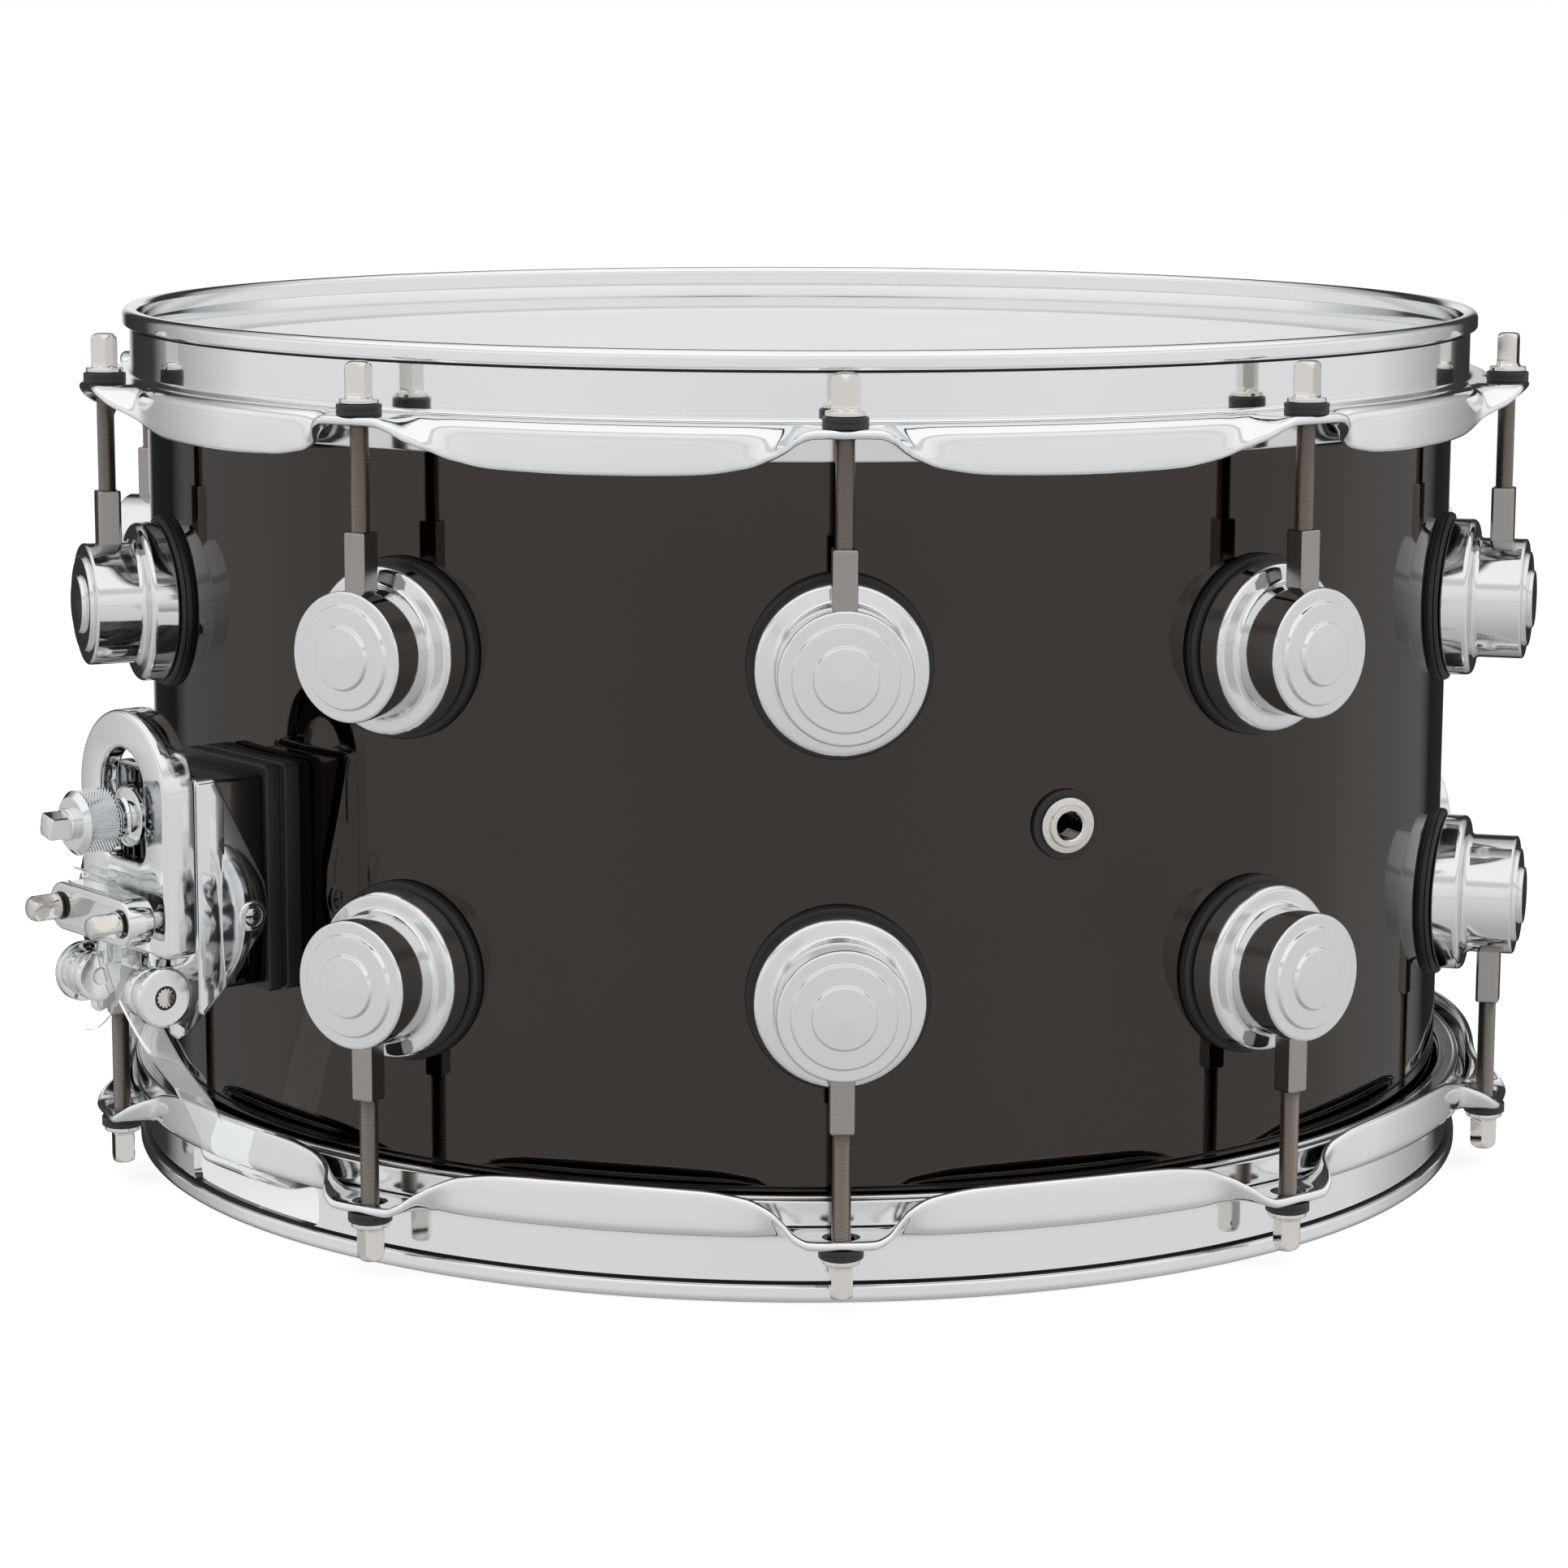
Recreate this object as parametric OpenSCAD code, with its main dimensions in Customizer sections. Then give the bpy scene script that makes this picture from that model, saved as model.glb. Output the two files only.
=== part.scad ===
// 14 x 8 inch snare drum with ten turret lugs a side and a magnetic throw-off.
// The origin is on the drum's axis, in the plane of the lower rim it stands on.
// Azimuths are measured from -Y (0), the front lug, towards +X (90).

/* [Shell] */
// Outer radius of the shell
shell_r = 177; // [176.5:0.1:177.5]
// Wall thickness of the shell
shell_wall = 1.5; // [1:0.1:1.8]
// Depth of the shell from edge to edge
shell_depth = 203.2; // [200:0.2:206]
// Overall height from rim to rim
drum_height = 228.4; // [226:0.2:230]
// Height of the air vent
vent_z = 114.2; // [110:0.2:120]
// Azimuth of the air vent
vent_azimuth = 18; // [17:0.5:19]

/* [Lugs and rods] */
// Number of lugs on each side
lug_count = 10; // [10:1:10]
// Height of the upper lugs' centres
upper_lug_z = 154.1; // [152:0.1:156]
// Height of the lower lugs' centres
lower_lug_z = 74.3; // [72:0.1:76]
// Radius of a lug's base disc
lug_base_r = 20.7; // [20:0.1:21]
// Radius of a lug's barrel
lug_barrel_r = 15.85; // [15:0.05:16]
// Distance of the tension rods from the drum's axis
rod_circle_r = 192.2; // [191.8:0.1:192.6]
// Thread radius of a tension rod
rod_thread_r = 2.4; // [2.35:0.01:2.42]
// Across flats of a drum-key head
key_flats = 5.4; // [5.2:0.1:5.6]

/* [Hoops] */
// Inner radius of the hoop wall
hoop_in_r = 179; // [178.9:0.1:179.2]
// Steel thickness of a hoop
hoop_steel = 2.3; // [2:0.1:2.5]
// Outer radius of the rolled rim
rim_r = 183.2; // [182.8:0.1:183.6]
// Distance from the rim's end to the outside of the ears
ear_h = 17; // [16.6:0.1:17.4]
// Outer radius of the ears
ear_r = 199; // [198:0.1:200]
// Distance from the rim's end to the skirt's lip
lip_h = 29.2; // [27.2:0.5:30.2]

/* [Throw-off] */
// Azimuth of the throw-off
throwoff_azimuth = -54; // [-54:0.5:-54]
// Width of the lever
lever_w = 40.8; // [40:0.2:41]
// Height of the lever's top
lever_top_z = 136.3; // [135:0.1:137]
// Radius from the drum's axis to the hinge pin
pin_x = 216; // [215.8:0.1:216.2]
// Height of the hinge pin
pin_z = 67.7; // [67.5:0.1:67.9]
// Height of the adjuster knob's axis
knob_z = 109.6; // [109:0.1:110]
// Radius of the knurled barrel
knob_r = 8.25; // [8:0.05:8.4]
// Height of the clamp bar's middle
clamp_z = 86.3; // [86:0.1:86.6]
// Width of the snare strap
strap_w = 18; // [17:0.5:19]

/* [Snares] */
// Number of snare wires
wire_count = 20; // [12:2:20]
// Outer radius of a snare wire's coil
wire_r = 0.95; // [0.8:0.05:1]
// Distance between neighbouring wires
wire_pitch = 2.2; // [2.1:0.05:2.7]

/* [Hidden] */
$fn = 96;

// Heights and radii that follow from the driving sizes
shell_z = (drum_height - shell_depth) / 2;
lug_step = 360 / lug_count;
butt_azimuth = throwoff_azimuth + 180;
eps = 0.05;             // running clearance round a shaft
bite = 1;               // how far a cutter runs past what it cuts

// Bearing edge: the wall leans in over the last few millimetres
edge_depth = 4;
edge_in = 3;

// Heads and flesh hoops
film = 0.25;
head_h = shell_z - film;          // film's face, measured from the rim's end
collar_gap = 0.15;
flesh_in_r = 178.6;
flesh_r = 184;
flesh_h0 = ear_h + hoop_steel + 0.1;
flesh_h1 = flesh_h0 + 6.5;

// Hoop section
hoop_out_r = hoop_in_r + hoop_steel;
rim_in_r = hoop_in_r - 0.1;
rim_h = 4.1;
rim_round = 1.5;
skirt_r = 188;
ear_flat = 8.7;         // half width of an ear at its outer edge
ear_root = 16;          // half width of an ear at its root
hole_r = 3.8;           // rod hole in an ear
tab_in = 0.1;           // an ear stands this far proud of the shelf's underside
gate_w = 60;
gate_h0 = 5;
gate_h1 = 15.8;
gate_round = 3;

// Lug stack along its own axis, as distances from the drum's axis
gasket_x = shell_r + 2.4;
base_x = 185.4;
barrel_x = 198.8;
gasket_r = 22.3;
lug_screw_r = 3;
receiver_w = 6.3;
receiver_out = 29.2;    // past the lug's centre, towards the hoop
receiver_in = 8;        // past the lug's centre, the other way
receiver_round = 1;

// Tension rod, measured from the ear's face
washer_r = 5.45;
washer_t = 2.65;
flange_r = 4.75;
flange_t = 1.3;
head_len = 7.7;
head_round = 3.42;      // turned radius of the key head
shank_r = 2;
shank_len = 8;
rod_end = 8;            // stops this far short of the lug's centre

// Throw-off, in its own frame: X outward, Y tangential, Z up
block_x0 = 185.6;
block_x1 = 203;
block_w = 36;
block_z0 = 67;
block_z1 = 119.5;
isolator_w = 39;
isolator_over = 2.4;
web_x0 = 203.2;
web_x1 = 206.4;
plate_y0 = 18.2;
plate_y1 = 20.6;
ear_y0 = 14.6;
ear_hinge_r = 7.6;
belly_x = 190.9;
belly_z = 85;
belly_r = 5.1;
pin_r = 2.1;
lever_x0 = 210;
lever_x1 = 215.2;
lever_z0 = 76.5;
window_r = 10.3;
window_z0 = 99;
window_top = 126.8;
knuckle_r = 7.2;
knuckle_y = 14.2;
strap_gap_y = 9.8;
rib_y = 14.8;
rib_x = 207.4;
knob_x0 = 206.8;
barrel_x0 = 219.5;
barrel_x1 = 229.5;
knob_tip_x = 236.4;
post_r = 2.5;
bar_x0 = 217.6;
bar_x1 = 225;
bar_half = 19.7;
bar_r = 5.7;
screw_y = 14.6;
screw_r = 2.2;
o_ring = 1.2;
magnet_r = 2.6;
magnet_y = 15.2;
magnet_z = 112;

// Straps: routes in the plane of X and Z
strap_t = 0.4;
gate_route = [[196.5, 36.3], [189.9, 22.6], [189.1, 19], [188.4, 16.8], [186, 15.3], [181.5, 12.8],
    [176, 10.4], [170, 9.25], [150, 9.2]];
lower_route = concat([[213.2, 64.9], [212, 61], [205, 48]], gate_route);
butt_route = concat([[205.35, 96], [205.35, 70], [203.5, 58]], gate_route);
rise_route = [[213.7, 66.2], [214.9, 69.2], [215.8, 73.5], [216, 80], [216, 93.6]];
tail_route = [[225.4, 93.8], [225, 92.9], [224.2, 92.45], [218, 92.45], [217.2, 92.2], [216.9, 91.4],
    [216.9, 80.6], [217.3, 77.6], [218.7, 73.5], [221, 68.5], [224, 63.2], [226.8, 58]];
loop_z = 94.6;
loop_a = [218.1, 2.1];  // middle and radius of the inner loop
loop_b = [223.5, 2];    // the same for the outer loop
dip = [220.85, 0.65];   // the turn between the two
loop_steps = 8;

// Butt side
butt_block_x0 = 180.4;
butt_block_x1 = 204.6;
butt_block_w = 36;
butt_block_z0 = 70;
butt_block_z1 = 112;
butt_bar_x0 = 206.1;
butt_bar_x1 = 212.1;

// Snares
plate_len = 14;
plate_t = 0.9;
plate_x = 165;          // outer end of an end plate
wire_z = head_h - 0.05 - wire_r;

// ---- placing helpers ----

// Puts +X on the given azimuth
module at_azimuth(a) rotate([0, 0, a - 90]) children();

// Puts a turned part's axis on +X at the given height
module along_x(z = 0) translate([0, 0, z]) rotate([0, 90, 0]) children();

// Repeats a part at every lug
module every_lug() for (k = [0 : lug_count - 1]) at_azimuth(k * lug_step) children();

// Turns a part made for the lower end over to the upper end
module to_batter_side() translate([0, 0, drum_height]) mirror([0, 0, 1]) children();

// A ring between two radii and two heights
module ring(r0, r1, z0, z1) translate([0, 0, z0]) difference() {
    cylinder(r = r1, h = z1 - z0, $fn = 360);
    translate([0, 0, -bite]) cylinder(r = r0, h = z1 - z0 + 2 * bite, $fn = 360);
}

// A bar with round ends, lying along Y, from x0 to x1
module round_bar(x0, x1, half, r) {
    translate([x0, 0, 0]) rotate([0, 90, 0]) for (s = [-1, 1])
        translate([0, s * (half - r), 0]) cylinder(r = r, h = x1 - x0);
    translate([x0, -(half - r), -r]) cube([x1 - x0, 2 * (half - r), 2 * r]);
}

// ---- shell ----

// Half section of the shell, drawn as radius and height
module shell_section() {
    r0 = shell_r - shell_wall;
    polygon([[shell_r, shell_z + edge_depth], [shell_r, drum_height - shell_z - edge_depth],
        [shell_r - edge_in, drum_height - shell_z], [shell_r - edge_in - shell_wall, drum_height - shell_z],
        [r0, drum_height - shell_z - edge_depth - shell_wall], [r0, shell_z + edge_depth + shell_wall],
        [shell_r - edge_in - shell_wall, shell_z], [shell_r - edge_in, shell_z]]);
}

module radial_hole(z, r) translate([160, 0, z]) rotate([0, 90, 0]) cylinder(r = r, h = 30);

module shell() {
    color([0.20, 0.18, 0.17]) difference() {
        rotate_extrude($fn = 360) shell_section();
        every_lug() for (z = [upper_lug_z, lower_lug_z]) radial_hole(z, lug_screw_r + 0.2);
        at_azimuth(vent_azimuth) radial_hole(vent_z, 5);
        for (a = [throwoff_azimuth, butt_azimuth]) at_azimuth(a)
            for (z = [78, 105]) radial_hole(z, 2.7);
    }
}

module vent_gasket() {
    color([0.05, 0.05, 0.05]) at_azimuth(vent_azimuth) difference() {
        along_x(vent_z) translate([0, 0, 174]) cylinder(r = 8.7, h = 4.4);
        cylinder(r = shell_r, h = drum_height, $fn = 360);
        radial_hole(vent_z, 5);
    }
}

module vent_grommet() {
    color([0.72, 0.70, 0.67]) at_azimuth(vent_azimuth) along_x(vent_z) rotate_extrude()
        polygon([[3.3, 172.4], [4.9, 172.4], [4.9, 178.4], [6.8, 178.4], [6.8, 179.5],
            [5.1, 180.1], [4.7, 180.5], [4, 180.5], [3.3, 180]]);
}

// ---- hoops, flesh hoops and heads, drawn for the lower end ----

// Rolled rim, wall, shelf and skirt in half section, as radius and height
module hoop_section() {
    c = rim_round;
    d = rim_round * 0.3;
    shelf = ear_h + tab_in;
    foot = ear_h + hoop_steel;
    polygon([[rim_in_r + c, 0], [rim_r - c, 0], [rim_r - d, d], [rim_r, c], [rim_r, rim_h],
        [hoop_out_r, rim_h + 1], [hoop_out_r, shelf], [skirt_r - 0.8, shelf], [skirt_r, shelf + 0.8],
        [skirt_r, lip_h], [skirt_r - hoop_steel, lip_h], [skirt_r - hoop_steel, foot],
        [hoop_in_r, foot], [hoop_in_r, rim_h], [rim_in_r, rim_h - 0.5], [rim_in_r, c], [rim_in_r + d, d]]);
}

// An ear: a flat tab that the rod passes through
module ear_tab() {
    translate([0, 0, ear_h]) linear_extrude(hoop_steel - tab_in) polygon([[skirt_r - 4, -ear_root],
        [skirt_r - 0.5, -ear_root], [ear_r - 3, -ear_flat - 2], [ear_r - 0.7, -ear_flat + 1],
        [ear_r, -ear_flat + 3.5], [ear_r, ear_flat - 3.5], [ear_r - 0.7, ear_flat - 1],
        [ear_r - 3, ear_flat + 2], [skirt_r - 0.5, ear_root], [skirt_r - 4, ear_root]]);
}

// The scallop that the skirt leaves at each ear
module skirt_notch() {
    top = lip_h + bite;
    foot = ear_h + hoop_steel + 0.3;
    translate([skirt_r - hoop_steel - 1.5, 0, 0]) rotate([90, 0, 90]) linear_extrude(8)
        polygon([[-9.5, foot], [9.5, foot], [12.5, foot + 1.2], [16, foot + 4], [20, foot + 6.6],
            [26, foot + 8.3], [37.5, top], [-37.5, top], [-26, foot + 8.3],
            [-20, foot + 6.6], [-16, foot + 4], [-12.5, foot + 1.2]]);
}

module rod_hole() translate([rod_circle_r, 0, ear_h - bite]) cylinder(r = hole_r, h = hoop_steel + 2 * bite);

module hoop() {
    difference() {
        union() {
            difference() {
                rotate_extrude($fn = 360) hoop_section();
                every_lug() skirt_notch();
            }
            every_lug() ear_tab();
        }
        every_lug() rod_hole();
    }
}

// Window in the wall that lets the strap reach the wires
module snare_gate() {
    w = gate_w / 2;
    c = gate_round * 0.6;
    translate([hoop_in_r - 9, 0, 0]) rotate([90, 0, 90]) linear_extrude(15) polygon([[-w + c, gate_h0],
        [w - c, gate_h0], [w, gate_h0 + c], [w, gate_h1 - c], [w - c, gate_h1], [-w + c, gate_h1],
        [-w, gate_h1 - c], [-w, gate_h0 + c]]);
}

module batter_hoop() { color([0.86, 0.87, 0.88]) to_batter_side() hoop(); }

module snare_hoop() {
    color([0.86, 0.87, 0.88]) difference() {
        hoop();
        for (a = [throwoff_azimuth, butt_azimuth]) at_azimuth(a) snare_gate();
    }
}

module flesh_hoop() { ring(flesh_in_r, flesh_r, flesh_h0, flesh_h1); }

module batter_flesh_hoop() { color([0.80, 0.80, 0.80]) to_batter_side() flesh_hoop(); }

module snare_flesh_hoop() { color([0.80, 0.80, 0.80]) flesh_hoop(); }

// A flat film whose collar runs down past the bearing edge to its flesh hoop
module head_film() {
    r_edge = shell_r - edge_in + 0.3;
    r_side = shell_r + collar_gap;
    h_side = shell_z + edge_depth;
    rotate_extrude($fn = 360) polygon([[0, head_h], [r_edge, head_h], [r_side + film, h_side],
        [flesh_in_r, flesh_h1 - 2], [flesh_in_r, flesh_h1 - 1.4], [r_side, h_side + 0.2],
        [r_edge - 0.15, head_h + film], [0, head_h + film]]);
}

module batter_head() { color([0.95, 0.95, 0.94]) to_batter_side() head_film(); }

module snare_head() { color([0.90, 0.92, 0.93, 0.4]) head_film(); }

// ---- lugs ----

// Half section of a turret lug, drawn as radius and distance along its axis
module lug_section() {
    polygon([[0, gasket_x], [lug_base_r - 0.6, gasket_x], [lug_base_r, gasket_x + 0.6],
        [lug_base_r, base_x - 1], [lug_base_r - 1, base_x], [lug_barrel_r + 2, base_x + 0.3],
        [lug_barrel_r + 0.6, base_x + 1], [lug_barrel_r, base_x + 2.2], [lug_barrel_r, barrel_x - 0.6],
        [lug_barrel_r - 0.6, barrel_x], [12.7, barrel_x + 0.2], [12.3, barrel_x + 1.1],
        [7.9, barrel_x + 1.5], [7.5, barrel_x + 2.4], [0, barrel_x + 2.6]]);
}

module receiver_pocket(up) {
    w = receiver_w + 2 * eps;
    translate([rod_circle_r - w / 2, -w / 2, up ? -receiver_in : -40]) cube([w, w, 40 + receiver_in]);
}

// up is true for a lug whose rod leaves upwards
module lug(z, up) translate([0, 0, z]) difference() {
    along_x() rotate_extrude() lug_section();
    receiver_pocket(up);
    translate([gasket_x - bite, 0, 0]) rotate([0, 90, 0]) cylinder(r = lug_screw_r + eps, h = 8 + bite);
}

module batter_lugs() { color([0.84, 0.85, 0.86]) every_lug() lug(upper_lug_z, true); }

module snare_lugs() { color([0.84, 0.85, 0.86]) every_lug() lug(lower_lug_z, false); }

module lug_gaskets() {
    color([0.05, 0.05, 0.05]) every_lug() for (z = [upper_lug_z, lower_lug_z]) difference() {
        along_x(z) translate([0, 0, 174]) rotate_extrude()
            polygon([[lug_screw_r + 0.2, 0], [gasket_r, 0], [gasket_r, gasket_x - 174.6],
                [gasket_r - 0.6, gasket_x - 174], [lug_screw_r + 0.2, gasket_x - 174]]);
        translate([0, 0, z - 30]) cylinder(r = shell_r, h = 60, $fn = 360);
    }
}

// A square tube with rounded edges, tapped along its length
module receiver(z, up) {
    r = receiver_round;
    w = receiver_w;
    z0 = up ? z - receiver_in : z - receiver_out;
    translate([rod_circle_r, 0, z0]) linear_extrude(receiver_in + receiver_out) difference() {
        union() {
            for (x = [-1, 1]) for (y = [-1, 1]) translate([x * (w / 2 - r), y * (w / 2 - r)])
                circle(r = r, $fn = 32);
            square([w, w - 2 * r], center = true);
            square([w - 2 * r, w], center = true);
        }
        circle(r = rod_thread_r + eps);
    }
}

module batter_receivers() { color([0.62, 0.60, 0.58]) every_lug() receiver(upper_lug_z, true); }

module snare_receivers() { color([0.62, 0.60, 0.58]) every_lug() receiver(lower_lug_z, false); }

module lug_screws() {
    color([0.55, 0.55, 0.56]) every_lug() for (z = [upper_lug_z, lower_lug_z]) along_x(z) {
        translate([0, 0, 169.4]) cylinder(r = 5, h = 4);
        translate([0, 0, 173.4]) cylinder(r = lug_screw_r, h = 13);
    }
}

module lug_screw_washers() {
    color([0.60, 0.60, 0.60]) every_lug() for (z = [upper_lug_z, lower_lug_z]) along_x(z)
        translate([0, 0, 173.4]) difference() {
            cylinder(r = 7.5, h = 1.6);
            translate([0, 0, -bite]) cylinder(r = lug_screw_r + 0.1, h = 1.6 + 2 * bite);
        }
}

// ---- tension rods, drawn for the lower end ----

// Drum-key head: a turned, domed stub with four flats, its free end at z = 0
module key_head(len) {
    intersection() {
        rotate_extrude($fn = 64) polygon([[0, 0], [1.7, 0.15], [2.8, 0.75], [head_round, 1.7],
            [head_round, len], [0, len]]);
        translate([-key_flats / 2, -key_flats / 2, 0]) cube([key_flats, key_flats, len]);
    }
}

// The whole rod: key head, flange, plain shank and thread
module rod(lug_z) {
    seat = ear_h - washer_t - eps;
    tip = lug_z - rod_end;
    translate([rod_circle_r, 0, 0]) {
        translate([0, 0, seat - flange_t - head_len]) key_head(head_len);
        translate([0, 0, seat - flange_t]) rotate_extrude() polygon([[0, 0], [3.3, 0],
            [flange_r, 0.5], [flange_r, flange_t], [0, flange_t]]);
        translate([0, 0, seat]) cylinder(r = shank_r, h = shank_len);
        translate([0, 0, seat + shank_len]) rotate_extrude() polygon([[0, 0], [shank_r, 0],
            [rod_thread_r, 0.5], [rod_thread_r, tip - seat - shank_len - 0.8],
            [rod_thread_r - 0.8, tip - seat - shank_len], [0, tip - seat - shank_len]]);
    }
}

module batter_rod(k) color([0.66, 0.64, 0.61]) at_azimuth((k - 1) * lug_step)
    to_batter_side() rod(drum_height - upper_lug_z);

module snare_rod(k) color([0.66, 0.64, 0.61]) at_azimuth((k - 1) * lug_step) rod(lower_lug_z);

module rod_washer() translate([rod_circle_r, 0, ear_h - washer_t]) difference() {
    cylinder(r = washer_r, h = washer_t);
    translate([0, 0, -bite]) cylinder(r = shank_r + 0.4, h = washer_t + 2 * bite);
}

module rod_washers() {
    color([0.04, 0.04, 0.04]) every_lug() {
        rod_washer();
        to_batter_side() rod_washer();
    }
}

// ---- throw-off: fixed pieces ----

module throwoff_gasket() {
    color([0.05, 0.05, 0.05]) at_azimuth(throwoff_azimuth) difference() {
        translate([174, -isolator_w / 2, block_z0 - isolator_over])
            cube([block_x0 - 174, isolator_w, block_z1 - block_z0 + 2 * isolator_over]);
        cylinder(r = shell_r, h = drum_height, $fn = 360);
        for (z = [78, 105]) translate([170, 0, z]) rotate([0, 90, 0]) cylinder(r = 2.7, h = 20);
    }
}

module throwoff_block() {
    color([0.08, 0.08, 0.09]) at_azimuth(throwoff_azimuth) difference() {
        translate([block_x0, -block_w / 2, block_z0])
            cube([block_x1 - block_x0, block_w, block_z1 - block_z0]);
        for (z = [78, 105]) translate([block_x0 - bite, 0, z]) rotate([0, 90, 0])
            cylinder(r = 2.5 + eps, h = 11);
        translate([192, 0, knob_z]) rotate([0, 90, 0]) cylinder(r = post_r + eps, h = 20);
        for (s = [-1, 1]) translate([belly_x, s * 20, belly_z]) rotate([90, 0, 0])
            cylinder(r = 1.8 + eps, h = 14, center = true);
    }
}

// Side plate outline: a straight front edge, a sloping back edge and a pointed foot
module side_outline() {
    polygon([[206.4, 120.5], [200.5, 120.5], [186.2, 92], [belly_x - belly_r + 0.3, belly_z + 1.5],
        [belly_x - belly_r + 1.8, belly_z - 3.8], [196.5, 69.5], [210.2, 57], [212.2, 56.6], [213.8, 58],
        [214, 61], [213, 68], [211, 73.4], [208.6, 75.6], [207, 78.4], [206.4, 81.5]]);
    translate([belly_x, belly_z]) circle(r = belly_r);
    translate([pin_x, pin_z]) circle(r = ear_hinge_r);
}

module hinge_bore() translate([pin_x, -30, pin_z]) rotate([-90, 0, 0]) cylinder(r = pin_r + eps, h = 60);

module throwoff_housing() {
    color([0.84, 0.85, 0.86]) at_azimuth(throwoff_azimuth) difference() {
        union() {
            for (s = [-1, 1]) {
                translate([0, s > 0 ? plate_y1 : -plate_y0, 0]) rotate([90, 0, 0])
                    linear_extrude(plate_y1 - plate_y0) side_outline();
                translate([pin_x, s > 0 ? ear_y0 : -plate_y1, pin_z]) rotate([-90, 0, 0])
                    cylinder(r = ear_hinge_r, h = plate_y1 - ear_y0);
                translate([web_x0, s > 0 ? ear_y0 : -plate_y0, 63]) cube([12, plate_y0 - ear_y0, 8]);
            }
            translate([web_x0, -plate_y0, 68]) cube([web_x1 - web_x0, 2 * plate_y0, 52.5]);
        }
        hinge_bore();
        translate([200, 0, knob_z]) rotate([0, 90, 0]) cylinder(r = post_r + eps, h = 10);
        for (s = [-1, 1]) {
            translate([201, s * magnet_y, magnet_z]) rotate([0, 90, 0]) cylinder(r = magnet_r + eps, h = 10);
            translate([belly_x, s * 20, belly_z]) rotate([90, 0, 0])
                cylinder(r = 1.8 + eps, h = 14, center = true);
        }
    }
}

module housing_side_screws() {
    color([0.60, 0.58, 0.56]) at_azimuth(throwoff_azimuth) for (s = [-1, 1])
        translate([belly_x, s * plate_y1, belly_z]) rotate([s * -90, 0, 0]) {
            cylinder(r = 3, h = 0.9);
            translate([0, 0, -7]) cylinder(r = 1.8, h = 7);
        }
}

module mount_screws() {
    color([0.55, 0.55, 0.56]) for (a = [throwoff_azimuth, butt_azimuth]) at_azimuth(a)
        for (z = [78, 105]) along_x(z) {
            translate([0, 0, 170.4]) cylinder(r = 4.5, h = 3);
            translate([0, 0, 173.4]) cylinder(r = 2.5, h = 21);
        }
}

module throwoff_magnets() {
    color([0.70, 0.70, 0.72]) at_azimuth(throwoff_azimuth) for (s = [-1, 1])
        translate([web_x0, s * magnet_y, magnet_z]) rotate([0, 90, 0]) cylinder(r = magnet_r, h = 5.8);
}

module adjuster_post() {
    color([0.60, 0.58, 0.56]) at_azimuth(throwoff_azimuth) translate([194, 0, knob_z])
        rotate([0, 90, 0]) cylinder(r = post_r, h = 31);
}

module hinge_pins() {
    color([0.60, 0.58, 0.54]) at_azimuth(throwoff_azimuth) for (s = [-1, 1])
        translate([pin_x, s > 0 ? strap_gap_y + 0.2 : -20.2, pin_z])
            rotate([-90, 0, 0]) cylinder(r = pin_r, h = 20 - strap_gap_y);
}

// ---- throw-off: lever and what it carries ----

// Face of the lever, drawn as Y and Z
module lever_face() {
    r = lever_w / 2;
    difference() {
        union() {
            translate([0, lever_top_z - r]) circle(r = r);
            translate([-r, lever_z0]) square([2 * r, lever_top_z - r - lever_z0]);
        }
        translate([0, window_top - window_r]) circle(r = window_r);
        translate([-window_r, window_z0 + 4]) square([2 * window_r, window_top - window_r - window_z0 - 4]);
        for (s = [-1, 1]) translate([s * (window_r - 4), window_z0 + 4]) circle(r = 4, $fn = 48);
        translate([-window_r + 4, window_z0]) square([2 * window_r - 8, 6]);
    }
}

module lever() {
    color([0.85, 0.86, 0.87]) at_azimuth(throwoff_azimuth) difference() {
        union() {
            translate([lever_x0, 0, 0]) rotate([90, 0, 90]) linear_extrude(lever_x1 - lever_x0) lever_face();
            for (s = [-1, 1]) {
                translate([rib_x, s > 0 ? rib_y : -lever_w / 2, 82])
                    cube([lever_x0 - rib_x, lever_w / 2 - rib_y, 24]);
                translate([pin_x, s > 0 ? strap_gap_y : -knuckle_y, pin_z]) rotate([-90, 0, 0])
                    cylinder(r = knuckle_r, h = knuckle_y - strap_gap_y);
                translate([lever_x0, s > 0 ? strap_gap_y : -knuckle_y, pin_z + 4])
                    cube([lever_x1 - lever_x0, knuckle_y - strap_gap_y, lever_z0 - pin_z - 3]);
            }
        }
        hinge_bore();
        for (s = [-1, 1]) {
            translate([lever_x0 - 5, s * magnet_y, magnet_z]) rotate([0, 90, 0])
                cylinder(r = magnet_r + eps, h = 8);
            translate([lever_x0 + 1, s * screw_y, clamp_z]) rotate([0, 90, 0])
                cylinder(r = screw_r + eps, h = 6);
        }
    }
}

module lever_keepers() {
    color([0.62, 0.62, 0.63]) at_azimuth(throwoff_azimuth) for (s = [-1, 1])
        translate([lever_x0 - 0.5, s * magnet_y, magnet_z]) rotate([0, 90, 0])
            cylinder(r = magnet_r, h = 3.4);
}

module clamp_bar() {
    color([0.85, 0.86, 0.87]) at_azimuth(throwoff_azimuth) difference() {
        translate([0, 0, clamp_z]) round_bar(bar_x0, bar_x1, bar_half, bar_r);
        for (s = [-1, 1]) translate([bar_x0 - 1, s * screw_y, clamp_z]) rotate([0, 90, 0])
            cylinder(r = screw_r + 0.2, h = 10);
    }
}

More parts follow.
